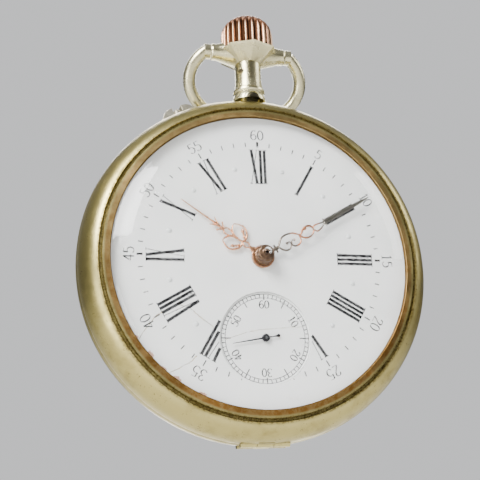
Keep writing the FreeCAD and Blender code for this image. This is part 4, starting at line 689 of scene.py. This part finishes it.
enamel = enamel_finish()
dial_ink = ink_finish()
hairline_stain = crack_finish()
bead_enamel = cloudy_finish("enamel_bead", 2.0, colour(236, 238, 238), colour(212, 216, 216),
                            0.08, coat_roughness=0.03)
glass = glass_finish()
ruby = cloudy_finish("ruby", 1.5, colour(150, 16, 44), colour(214, 52, 84), 0.06,
                     coat_roughness=0.02, ior=1.76)


# ------------------------------------------------- finishes on the frame
WELD_GAP = 1e-6  # metres
SHARP_FROM = 28  # degrees between two facets


def smooth_shading():
    """Modifier tree that welds the frame's facets and keeps only true edges sharp."""
    tree = bpy.data.node_groups.new("smooth_facets", "GeometryNodeTree")
    tree.interface.new_socket("Geometry", in_out="INPUT", socket_type="NodeSocketGeometry")
    tree.interface.new_socket("Geometry", in_out="OUTPUT", socket_type="NodeSocketGeometry")
    entry = tree.nodes.new("NodeGroupInput")
    result = tree.nodes.new("NodeGroupOutput")
    weld = put(tree, "GeometryNodeMergeByDistance",
               {"Geometry": entry.outputs[0], "Distance": WELD_GAP})
    bend = put(tree, "GeometryNodeInputMeshEdgeAngle").outputs[0]
    hard = put(tree, "FunctionNodeCompare", {0: bend, 1: math.radians(SHARP_FROM)},
               operation="GREATER_THAN").outputs[0]
    shaded = tree.nodes.new("GeometryNodeSetMeshNormal")
    shaded.mode = "SHARPNESS"
    tree.links.new(weld.outputs[0], shaded.inputs["Mesh"])
    for socket in shaded.inputs:
        if socket.name == "Remove Custom":
            socket.default_value = True
        if socket.name == "Edge Sharpness":
            tree.links.new(hard, socket)
        if socket.name == "Face Sharpness":
            socket.default_value = False
    tree.links.new(shaded.outputs[0], result.inputs[0])
    return tree


facets = smooth_shading()


def finish_node(node, finish, edge):
    """Give a frame node its finish and smooth facets, and eased edges where edge is a width."""
    piece = nodes[node]
    piece.data.materials.clear()
    piece.data.materials.append(finish)
    shading = piece.modifiers.new("smooth_facets", "NODES")
    shading.node_group = facets
    if edge:
        ease = piece.modifiers.new("eased_edges", "BEVEL")
        ease.width = edge * MM
        ease.segments = 2
        ease.limit_method = "ANGLE"
        ease.angle_limit = math.radians(40)
        ease.harden_normals = True


# Finish, width of the eased edges in millimetres, and the nodes that have them
for finish, edge, names in (
        (case_metal, 0.0, "case_middle bezel"),
        (cover_metal, 0.0, "back_cover"),
        (inner_metal, 0.0, "cuvette"),
        (pendant_metal, 0.0, "pendant"),
        (bow_metal, 0.0, "bow"),
        (guard_metal, 0.06, "push_guard push_piece"),
        (pin_steel, 0.0, "bezel_hinge_pin back_hinge_pin cuvette_hinge_pin"),
        (enamel, 0.0, "dial seconds_dial"),
        (base_plate_metal, 0.0, "mainplate"),
        (plate_metal, 0.05, "barrel_bridge train_bridge balance_cock pallet_cock"),
        (screw_steel, 0.0, "winding_stem cannon_pinion centre_pinion third_pinion fourth_pinion"),
        (screw_steel, 0.0, "escape_pinion pallet_fork pallet_arbor balance_staff"),
        (screw_steel, 0.0, "regulator_index winding_pinion sliding_pinion setting_lever"),
        (screw_steel, 0.0, "setting_spring click click_spring barrel_arbor"),
        (blued_steel, 0.0, "hairspring mainspring bridge_screws case_screws"),
        (blued_steel, 0.0, "ratchet_screw crown_wheel_screw"),
        (ruby, 0.0, "jewels pallet_stones")):
    for node in names.split():
        finish_node(node, finish, edge)
for node in ("barrel", "barrel_cover", "centre_wheel", "third_wheel", "fourth_wheel",
             "hour_wheel", "minute_wheel", "balance_wheel"):
    finish_node(node, brass_for(node), 0.0)
for node in ("ratchet_wheel", "crown_wheel", "escape_wheel", "setting_wheel"):
    finish_node(node, steel_for(node), 0.0)


# ------------------------------------------------------------------ glass
def make_crystal():
    """Domed glass with a ground bevel round its edge."""
    outline = []
    for k in range(41):
        share = 1.0 - k / 40.0
        outline.append((20.55 * share, 9.72 + 2.2 * (1.0 - share ** 4)))
    for k in range(1, 41):
        share = k / 40.0
        outline.append((20.2 * share, 10.52 + 2.2 * (1.0 - share ** 4)))
    outline += [(20.45, 10.42), (20.68, 10.24), (20.78, 10.2), (21.16, 10.2), (21.18, 10.16),
                (21.18, 9.76), (21.14, 9.72), (20.75, 9.72)]
    made = make_piece("crystal_glass", *turned(outline, 240), glass, "bezel", "glass",
                      sharp=22.0)
    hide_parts("crystal")


make_crystal()


# ------------------------------------------------------- dial and numerals
def outside_seconds(x, z):
    """True where a print on the main dial clears the sunk seconds dial."""
    return math.hypot(x, z + SECONDS_DROP) > SECONDS_EDGE + 0.12


def print_line(start, end, width, level=DIAL_FACE, clip=False):
    """A straight printed stroke; clip leaves it out where it would cross the seconds dial."""
    count = max(2, int(math.hypot(end[0] - start[0], end[1] - start[1]) / 0.08))
    runs = [[]]
    for k in range(count + 1):
        t = k / count
        x = start[0] + (end[0] - start[0]) * t
        z = start[1] + (end[1] - start[1]) * t
        if clip and not outside_seconds(x, z):
            if runs[-1]:
                runs.append([])
            continue
        runs[-1].append((x, z))
    shapes = []
    for run in runs:
        if len(run) > 2:
            path = [run[0], *run[1:-1:4], run[-1]]
            shapes.append(strip(path, [width] * len(path), level, level + INK))
    return shapes


# Broad and fine strokes, pitch of the strokes and width of the letters, in millimetres
THICK = 0.41
THIN = 0.085
PITCH = 0.6
WIDTH_OF = {"I": THICK, "V": 1.1, "X": 1.15}


def roman(text, angle, foot, top):
    """Roman numeral standing on its foot towards the centre of the dial."""
    shapes = []
    gap = PITCH - THICK
    total = sum(WIDTH_OF[c] for c in text) + gap * (len(text) - 1)
    left = -total / 2
    for letter in text:
        wide = WIDTH_OF[letter]
        right = left + wide
        middle = (left + right) / 2
        strokes = []
        if letter == "I":
            strokes.append((middle, foot, middle, top, THICK))
        if letter == "V":
            strokes.append((left + THICK / 2, top, middle - 0.05, foot, THICK))
            strokes.append((right - 0.06, top, middle + 0.08, foot, THIN))
        if letter == "X":
            strokes.append((left + THICK / 2, top, right - THICK / 2, foot, THICK))
            strokes.append((right - 0.12, top, left + 0.12, foot, THIN))
        for x0, r0, x1, r1, width in strokes:
            shapes += print_line(on_dial(angle, x0, r0), on_dial(angle, x1, r1), width, clip=True)
        for out in (foot, top):
            ends = [(left - 0.13, right + 0.13)]
            if letter == "V" and out == foot:
                continue
            if letter in "VX":
                ends = [(left - 0.12, left + THICK + 0.12), (right - 0.32, right + 0.1)]
                if letter == "X" and out == foot:
                    ends = [(left - 0.1, left + 0.32), (right - THICK - 0.12, right + 0.12)]
            for x0, x1 in ends:
                shapes += print_line(on_dial(angle, x0, out), on_dial(angle, x1, out), THIN,
                                     clip=True)
        left = right + gap
    return shapes


def oval(cx, cy, rx, ry, steps=28):
    """Points round an oval, from its top and back to it."""
    turns = [math.radians(90.0 + 360.0 * k / steps) for k in range(steps + 1)]
    return [(cx + rx * math.cos(a), cy + ry * math.sin(a)) for a in turns]


FIGURES = {
    "0": [oval(0.3, 0.5, 0.26, 0.47)],
    "1": [[(0.14, 0.8), (0.33, 0.98)], [(0.33, 0.98), (0.33, 0.02)], [(0.16, 0.02), (0.5, 0.02)]],
    "2": [smooth_path([(0.07, 0.74), (0.13, 0.92), (0.3, 0.98), (0.48, 0.9), (0.5, 0.72),
                       (0.38, 0.5), (0.18, 0.26), (0.05, 0.04)]), [(0.05, 0.04), (0.55, 0.04)]],
    "3": [smooth_path([(0.07, 0.84), (0.18, 0.97), (0.34, 0.98), (0.49, 0.86), (0.46, 0.66),
                       (0.26, 0.54)]),
          smooth_path([(0.26, 0.54), (0.48, 0.44), (0.55, 0.24), (0.42, 0.05), (0.22, 0.02),
                       (0.05, 0.14)])],
    "4": [[(0.42, 0.02), (0.42, 0.98)], [(0.42, 0.98), (0.03, 0.32)], [(0.03, 0.32), (0.6, 0.32)]],
    "5": [[(0.52, 0.96), (0.14, 0.96)], [(0.14, 0.96), (0.11, 0.56)],
          smooth_path([(0.11, 0.56), (0.28, 0.63), (0.48, 0.54), (0.56, 0.32), (0.44, 0.08),
                       (0.24, 0.02), (0.05, 0.14)])],
    "6": [smooth_path([(0.5, 0.92), (0.36, 0.98), (0.16, 0.84), (0.06, 0.5), (0.08, 0.2),
                       (0.3, 0.02), (0.52, 0.16), (0.53, 0.4), (0.32, 0.58), (0.1, 0.42)])],
}


def figures(text, angle, foot, height, level, centre=(0.0, 0.0), thick=0.17, thin=0.065):
    """Arabic figures with their tops outward, drawn with a broad nib."""
    shapes = []
    wide = height * 0.68
    left = -wide * len(text) / 2 + height * 0.04
    for k, digit in enumerate(text):
        for path in FIGURES[digit]:
            laid = []
            widths = []
            for i, (u, v) in enumerate(path):
                before = path[max(i - 1, 0)]
                after = path[min(i + 1, len(path) - 1)]
                du, dv = after[0] - before[0], after[1] - before[1]
                upright = abs(dv) / (math.hypot(du, dv) or 1e-9)
                laid.append(on_dial(angle, left + wide * k + u * height, foot + v * height,
                                    centre))
                widths.append(thin + (thick - thin) * upright ** 1.5)
            shapes.append(strip(laid, widths, level, level + INK))
    return shapes


def make_dial_print():
    """Numerals, figures and strokes of the main dial, and the print of the seconds dial."""
    shapes = []
    names = {30: "I", 60: "II", 90: "III", 120: "IIII", 150: "V", 210: "VII", 240: "VIII",
             270: "IX", 300: "X", 330: "XI", 0: "XII"}
    for angle, text in names.items():
        shapes += roman(text, angle, 10.9, 16.0)
    for minute in range(60):
        angle = minute * 6.0
        if minute % 15 == 0:
            width, inner, outer = 0.3, 16.45, 17.25
        elif minute % 5 == 0:
            width, inner, outer = 0.16, 16.4, 17.25
        else:
            width, inner, outer = 0.13, 16.5, 17.15
        shapes += print_line(on_dial(angle, 0, inner), on_dial(angle, 0, outer), width, clip=True)
    for minute in range(5, 65, 5):
        if minute == 30:
            continue
        shapes += figures(str(minute), minute * 6.0, 17.55, 1.5, DIAL_FACE)
    make_piece("dial_print", *join_shapes(shapes), dial_ink, "case", "black_steel")

    shapes = []
    centre = (0.0, -SECONDS_DROP)
    for radius in (6.02, 5.52):
        circle = [(centre[0] + radius * math.sin(2 * math.pi * k / 96),
                   centre[1] + radius * math.cos(2 * math.pi * k / 96)) for k in range(97)]
        shapes.append(strip(circle, [0.075] * 97, SECONDS_FACE, SECONDS_FACE + INK))
    for second in range(60):
        inner = 4.75 if second % 10 == 5 else 5.5
        inner = 5.25 if second % 10 == 0 else inner
        width = 0.13 if second % 5 == 0 else 0.1
        shapes += print_line(on_dial(second * 6.0, 0, inner, centre),
                             on_dial(second * 6.0, 0, 6.03, centre), width, SECONDS_FACE)
    for second in range(10, 70, 10):
        shapes += figures(str(second), second * 6.0, 4.05, 1.1, SECONDS_FACE, centre, 0.15, 0.06)
    make_piece("seconds_print", *join_shapes(shapes), dial_ink, "case", "black_steel")


def dome(foot, radius, low, top, steps):
    """Outline of a small round dome, with its middle at the foot below it."""
    turns = [math.radians(90 * k / steps) for k in range(steps + 1)]
    return [(0.0, foot)] + [(radius * math.cos(a), low + (top - low) * math.sin(a))
                            for a in turns]


def make_beads():
    """Raised half-hour beads between the numerals."""
    shapes = []
    for angle in (15, 45, 75, 105, 135, 225, 255, 285, 315, 345):
        outline = dome(DIAL_FACE - 0.02, 0.34, DIAL_FACE, DIAL_FACE + 0.2, 8)
        shapes.append(turned(outline, 24, on_dial(angle, 0, 13.3)))
    make_piece("half_hour_beads", *join_shapes(shapes), bead_enamel, "case", "white_enamel")


def make_cracks():
    """Stained hairline cracks and a few chips in the glaze."""
    lines = [
        ([(-15.6, -9.6), (-16.6, -10.9), (-17.0, -12.0), (-16.4, -13.6), (-15.2, -14.9),
          (-13.6, -15.9)], 0.09),
        ([(-15.6, -9.6), (-14.7, -8.4), (-13.2, -7.5), (-11.9, -6.9), (-10.4, -7.2),
          (-9.2, -8.2), (-8.2, -9.0), (-7.2, -9.7)], 0.1),
        ([(-13.6, -15.9), (-12.3, -15.5), (-11.2, -14.9), (-10.2, -14.4), (-9.4, -13.6)], 0.11),
        ([(-13.6, -15.9), (-12.9, -16.2)], 0.16),
        ([(-6.5, -10.8), (-7.0, -10.3), (-7.2, -9.7)], 0.06)]
    shapes = []
    for knots, width in lines:
        path = smooth_path(knots, 8)
        path = [(x + random.uniform(-0.05, 0.05), z + random.uniform(-0.05, 0.05))
                for x, z in path]
        path = [p for p in path if outside_seconds(*p)]
        widths = [width * random.uniform(0.5, 1.2) for p in path]
        shapes.append(strip(path, widths, DIAL_FACE, DIAL_FACE + 0.006))
    path = smooth_path([(-6.1, -11.6), (-4.0, -10.9), (-1.6, -10.2), (1.4, -9.9), (5.6, -9.6)], 8)
    shapes.append(strip(path, [0.05] * len(path), SECONDS_FACE, SECONDS_FACE + 0.006))
    make_piece("glaze_hairlines", *join_shapes(shapes), hairline_stain, "case", "white_enamel")

    shapes = []
    for angle, out, size in ((216, 20.45, 0.5), (222, 20.5, 0.35), (229, 20.4, 0.45),
                             (205, 20.5, 0.4), (237, 20.5, 0.3)):
        ringed = []
        for k in range(15):
            a = 2 * math.pi * k / 15
            reach = size * random.uniform(0.55, 1.0)
            ringed.append(on_dial(angle, reach * math.cos(a) * 1.6,
                                  min(out + reach * math.sin(a), 20.7)))
        points = [(x, DIAL_FACE + 0.008, z) for x, z in ringed]
        points += [(x, DIAL_FACE, z) for x, z in ringed]
        faces = [tuple(range(15)), tuple(range(29, 14, -1))]
        faces += [(k, k + 15, (k + 1) % 15 + 15, (k + 1) % 15) for k in range(15)]
        shapes.append((points, faces))
    make_piece("glaze_chips", *join_shapes(shapes), chip_clay, "case", "white_enamel")


chip_clay = metal("bare_dial_copper", (196, 160, 140), (170, 140, 120), (120, 96, 80),
                  rough=0.5, size=0.8, lines=0.1, wear=0.0, spot=0.2)
make_dial_print()
make_beads()
make_cracks()


# ------------------------------------------------------------------ hands
def bar(knots, widths):
    """Smooth path through the knots, and the widths along it."""
    path = smooth_path(knots)
    return path, spread(widths, len(path))


def mirrored(strips):
    """The strips and their mirror images."""
    return strips + [([(-x, z) for x, z in path], widths) for path, widths in strips]


def bead(x, z, radius, low, top):
    """Small domed boss on a hand."""
    return turned(dome(low, radius, low, top, 6), 20, (x, z))


def make_hour_hand():
    """Pierced scroll hand in rose gilding."""
    low, top = HOUR_LEVEL, HOUR_LEVEL + HAND_THICK
    lobe = mirrored([
        bar([(0.08, 3.5), (0.55, 3.3), (1.12, 3.46), (1.7, 3.98), (1.93, 4.56), (1.8, 5.2),
             (1.46, 5.86)], [0.24, 0.28, 0.3, 0.26, 0.24, 0.22, 0.12]),
        bar([(1.46, 5.86), (1.0, 5.8), (0.5, 5.5), (0.16, 4.95), (0.08, 4.3)],
            [0.12, 0.2, 0.24, 0.22, 0.16]),
        bar([(1.6, 4.5), (1.3, 4.3), (1.0, 3.94), (0.72, 3.62)], [0.16, 0.26, 0.28, 0.2]),
        bar([(0.1, 2.35), (0.34, 2.62), (0.34, 3.0), (0.08, 3.4)], [0.2, 0.2, 0.2, 0.22]),
        bar([(0.1, 5.1), (0.36, 5.6), (0.42, 6.2), (0.1, 6.62)], [0.18, 0.2, 0.2, 0.18]),
        bar([(0.04, 6.7), (0.3, 6.94), (0.66, 7.3)], [0.28, 0.22, 0.12]),
        bar([(0.06, 7.4), (0.22, 7.86), (0.62, 8.6)], [0.3, 0.24, 0.06])])
    strips = lobe + [
        bar([(0, 1.3), (0, 1.7), (0, 2.0), (0, 2.3)], [0.8, 0.9, 0.5, 0.4]),
        bar([(0, 3.3), (0, 4.4), (0, 5.2)], [0.34, 0.18, 0.28]),
        bar([(0, 6.5), (0, 7.2), (0, 7.6), (0, 8.6), (0, 10.6), (0, 13.75)],
            [0.34, 0.3, 0.34, 0.24, 0.2, 0.09])]
    shapes = [strip(path, widths, low, top, 0.6) for path, widths in strips]
    for x, z, radius in ((1.3, 4.28, 0.24), (-1.3, 4.28, 0.24), (0.7, 3.62, 0.2),
                         (-0.7, 3.62, 0.2), (0.66, 7.28, 0.14), (-0.66, 7.28, 0.14)):
        shapes.append(bead(x, z, radius, low, top))
    hub = eased([(1.22, low), (1.62, low), (1.62, top - 0.03), (1.3, top), (1.22, top)], 0.04, 2)
    shapes.append(turned(hub, 72))
    shapes = [turn_shape(shape, HOUR_TURN) for shape in shapes]
    made = make_piece("hour_hand_scrollwork", *join_shapes(shapes), rose_gilding, "hour_wheel",
                      "rose_gilt", sharp=50)
    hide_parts("hour_hand")


def make_minute_hand():
    """Scroll hand with a dark foot, copper loops and a long blade, under a turned cap."""
    low, top = MINUTE_LEVEL, MINUTE_LEVEL + HAND_THICK
    strips = [
        bar([(0.1, 2.3), (-0.35, 2.8), (-0.85, 3.35), (-1.05, 4.05), (-0.96, 4.8), (-0.66, 5.5),
             (-0.22, 6.02), (0.0, 6.3)], [0.24, 0.26, 0.27, 0.26, 0.24, 0.22, 0.2, 0.2]),
        bar([(0.1, 2.55), (0.6, 2.82), (0.95, 3.26), (0.97, 3.84), (0.62, 4.28), (0.2, 4.34),
             (0.02, 4.06)], [0.26, 0.25, 0.24, 0.22, 0.2, 0.18, 0.16]),
        bar([(0.6, 4.34), (0.95, 4.66), (1.06, 5.16), (0.88, 5.68), (0.38, 6.0), (-0.16, 6.02)],
            [0.2, 0.24, 0.25, 0.24, 0.2, 0.16]),
        bar([(0.56, 4.42), (0.2, 4.56), (0.04, 4.9)], [0.2, 0.17, 0.16]),
        bar([(-0.02, 6.1), (0.42, 6.36), (0.78, 6.85), (0.83, 7.54), (0.55, 8.12), (0.12, 8.4),
             (-0.34, 8.3), (-0.64, 7.92), (-0.68, 7.45)],
            [0.24, 0.24, 0.25, 0.24, 0.22, 0.22, 0.26, 0.3, 0.24]),
        bar([(0.0, 6.2), (-0.22, 6.6), (-0.48, 6.9), (-0.56, 7.3)], [0.22, 0.3, 0.36, 0.3]),
        bar([(0.2, 8.36), (0.66, 8.76), (0.62, 9.4), (0.36, 9.98), (0.06, 10.4)],
            [0.22, 0.24, 0.22, 0.22, 0.26]),
        bar([(0.0, 8.4), (-0.24, 8.8), (-0.18, 9.5), (0.0, 10.3)], [0.22, 0.22, 0.2, 0.26]),
        bar([(-0.5, 10.42), (0.0, 10.5), (0.5, 10.42)], [0.16, 0.42, 0.16]),
        bar([(0, 1.0), (0, 1.6), (0, 1.95), (0, 2.15), (0, 2.5)], [0.7, 0.42, 0.5, 0.5, 0.4]),
        bar([(-0.62, 1.98), (0.0, 2.02), (0.62, 1.98)], [0.2, 0.3, 0.2]),
        bar([(0, 10.2), (0, 10.8), (0, 14.0), (0, 16.4), (0, 18.35)],
            [0.4, 0.66, 0.6, 0.5, 0.1])]
    shapes = [strip(path, widths, low, top, 0.6) for path, widths in strips]
    for x, z, radius in ((0.08, 3.86, 0.2), (0.16, 5.06, 0.18), (-0.56, 7.32, 0.27),
                         (0.0, 10.45, 0.24)):
        shapes.append(bead(x, z, radius, low, top))
    shapes = [turn_shape(shape, MINUTE_TURN) for shape in shapes]
    made = make_piece("minute_hand_scrollwork", *join_shapes(shapes), dark_hand_steel,
                      "centre_wheel", "black_steel", sharp=50)
    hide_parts("minute_hand")
    cap = eased([(0.0, low), (1.28, low), (1.28, low + 0.16), (1.1, low + 0.24),
                 (1.1, low + 0.34), (1.19, low + 0.42), (1.19, low + 1.22), (0.96, low + 1.44),
                 (0.6, low + 1.47), (0.46, low + 1.55), (0.34, low + 1.55), (0.26, low + 1.44),
                 (0.0, low + 1.42)], 0.05, 3)
    make_piece("minute_hand_cap", *turned(cap, 96), cap_bronze, "centre_wheel",
               "black_steel", sharp=40)


def make_seconds_hand():
    """Thin black hand with a round hub about its pivot and a drop tail."""
    low, top = SECONDS_LEVEL, SECONDS_LEVEL + 0.12
    centre = (0.0, -SECONDS_DROP)
    shapes = [strip(*bar([(0, 0.3), (0, 2.4), (0, 4.65)], [0.22, 0.15, 0.07]), low, top, 0.5),
              strip(*bar([(0, -0.3), (0, -0.9), (0, -1.4), (0, -1.8), (0, -2.0)],
                         [0.26, 0.13, 0.18, 0.5, 0.16]), low, top, 0.5)]
    hub = eased([(0.2, low - 0.18), (0.53, low - 0.18), (0.53, low + 0.1), (0.4, low + 0.19),
                 (0.2, low + 0.19)], 0.03, 2)
    shapes.append(turned(hub, 48))
    shapes = [turn_shape(shape, SECONDS_TURN, centre) for shape in shapes]
    made = make_piece("seconds_hand_steel", *join_shapes(shapes), black_steel, "fourth_wheel",
                      "black_steel", sharp=50)
    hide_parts("seconds_hand")


make_hour_hand()
make_minute_hand()
make_seconds_hand()


# ---------------------------------------------------------- crown and neck
def make_crown():
    """Fluted onion crown whose grooves run out on the dome."""
    outer = [(3.5, 0.0), (3.85, 0.14), (3.96, 0.45), (4.0, 1.0), (4.0, 2.4), (3.96, 3.3),
             (3.84, 3.95), (3.55, 4.6), (3.1, 5.15), (2.5, 5.58), (1.75, 5.87), (0.95, 6.03),
             (0.45, 6.08), (0.0, 6.1)]
    outer = [(radius, CROWN_BASE + rise) for radius, rise in smooth_path(outer, 5)]
    around = FLUTES * FLUTE_STEPS
    points = []
    for radius, z in outer:
        rise = z - CROWN_BASE
        fade = min(1.0, max(0.0, (rise - 0.05) / 0.3)) * min(1.0, max(0.0, (5.3 - rise) / 1.1))
        for k in range(around):
            phase = (k / FLUTE_STEPS) % 1.0
            notch = max(0.0, math.sin(math.pi * min(1.0, max(0.0, (phase - 0.13) / 0.74))))
            deep = 0.5 * notch ** 0.55 * fade
            a = 2 * math.pi * k / around
            r = max(radius - deep, 0.0)
            points.append((r * math.sin(a), STEM_LEVEL + r * math.cos(a), z))
    faces = skin(len(outer), around)
    start = len(points)
    for radius, z in ((1.2, CROWN_BASE), (0.64, CROWN_BASE), (0.64, CROWN_BASE + 1.2),
                      (0.0, CROWN_BASE + 1.2)):
        for k in range(around):
            a = 2 * math.pi * k / around
            points.append((radius * math.sin(a), STEM_LEVEL + radius * math.cos(a), z))
    for k in range(around):
        n = (k + 1) % around
        faces.append((k, start + k, start + n, n))
        for i in range(3):
            a = start + i * around
            faces.append((a + k, a + around + k, a + around + n, a + n))
    made = make_piece("crown_onion", points, faces, crown_metal, "crown_and_stem", "crown_gilt",
                      sharp=60)
    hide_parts("crown")


def make_neck_arch():
    """Raised half-round rim of the notch at the foot of the neck."""
    points = []
    count = 28
    around = 10
    for k in range(count + 1):
        a = math.pi * k / count
        x, z = 1.2 * math.cos(a), 25.3 + 0.98 * math.sin(a)
        level = STEM_LEVEL + math.sqrt(2.5 ** 2 - x * x) * (1.0 if z < 25.75 else 0.98)
        for i in range(around):
            b = 2 * math.pi * i / around
            outward = Vector((math.cos(a), math.sin(a)))
            points.append((x + outward.x * 0.1 * math.cos(b), level + 0.1 * math.sin(b),
                           z + outward.y * 0.1 * math.cos(b)))
    faces = skin(count + 1, around)
    faces.append(tuple(range(around)))
    faces.append(tuple(count * around + i for i in range(around))[::-1])
    make_piece("neck_arch_rim", points, faces, bow_metal, "case", "pendant_nickel_silver")


make_crown()
make_neck_arch()


# -------------------------------------------------- floor, light and camera
FLOOR_HEIGHT = -0.16  # metres


def make_floor():
    """Wide pale floor, well below the watch."""
    mesh = bpy.data.meshes.new("floor")
    side = 13
    points = [((i - 6) * 0.5, (j - 6) * 0.5, FLOOR_HEIGHT) for i in range(side)
              for j in range(side)]
    corners = [i * side + j for i in range(side - 1) for j in range(side - 1)]
    mesh.from_pydata(points, [], [(a, a + side, a + side + 1, a + 1) for a in corners])
    floor = bpy.data.objects.new("floor", mesh)
    bpy.context.collection.objects.link(floor)
    mesh.materials.append(paper_finish())


def make_light(name, place, size, power):
    """Soft square white light aimed at the middle of the watch."""
    lamp = bpy.data.lights.new(name, "AREA")
    lamp.shape = "SQUARE"
    lamp.size = size
    lamp.energy = power
    lamp.color = (1.0, 1.0, 1.0)
    made = bpy.data.objects.new(name, lamp)
    made.location = place
    made.rotation_mode = "QUATERNION"
    made.rotation_quaternion = (-Vector(place)).to_track_quat("-Z", "Y")
    bpy.context.collection.objects.link(made)


def make_world():
    """Pale room: even behind the watch, with a darker lower half for the metal to mirror."""
    world = bpy.data.worlds.new("pale_room")
    bpy.context.scene.world = world
    world.use_nodes = True
    tree = world.node_tree
    back = tree.nodes["Background"]
    way = put(tree, "ShaderNodeTexCoord").outputs["Generated"]
    up = put(tree, "ShaderNodeSeparateXYZ", {0: way}).outputs[2]
    room = put(tree, "ShaderNodeMapRange", {0: up, 1: -0.3, 2: 0.5, 3: 0.3, 4: 0.75}).outputs[0]
    mirrored_room = put(tree, "ShaderNodeMapRange",
                        {0: up, 1: -0.3, 2: 0.8, 3: 0.02, 4: 0.34}).outputs[0]
    rays = put(tree, "ShaderNodeLightPath").outputs
    lit = put(tree, "ShaderNodeMix", {0: rays["Is Glossy Ray"], 2: room, 3: mirrored_room},
              data_type="FLOAT").outputs[0]
    level = put(tree, "ShaderNodeMix", {0: rays["Is Camera Ray"], 2: lit, 3: 0.78},
                data_type="FLOAT").outputs[0]
    tree.links.new(level, back.inputs["Strength"])
    back.inputs["Color"].default_value = (0.97, 0.98, 1.0, 1.0)


make_floor()
make_light("key_upper_left", (-0.42, -0.42, 0.42), 0.34, 12.0)
make_light("fill_front_left", (-0.5, -0.35, -0.12), 0.3, 2.4)
make_light("rim_right", (0.45, -0.1, 0.25), 0.25, 0.9)
make_light("back_soft", (0.1, 0.5, 0.4), 0.4, 5.0)
make_light("side_soft", (0.1, 0.55, -0.05), 0.3, 1.5)
make_world()

camera_data = bpy.data.cameras.new("camera")
camera_data.lens = 61.2
camera_data.sensor_width = 36.0
camera_data.clip_start = 0.005
camera_data.clip_end = 10.0
camera = bpy.data.objects.new("camera", camera_data)
bpy.context.collection.objects.link(camera)
# Directions to the right of the view and back from it, in the watch's own axes
right = Vector((0.97450, -0.22135, -0.03669))
back_axis = Vector((-0.22193, -0.92690, -0.30267))
up_axis = back_axis.cross(right)
axes = Matrix((right, up_axis, back_axis)).transposed()
camera.matrix_world = Matrix.Translation((-0.028089, -0.1139, -0.03171)) @ axes.to_4x4()
bpy.context.scene.camera = camera
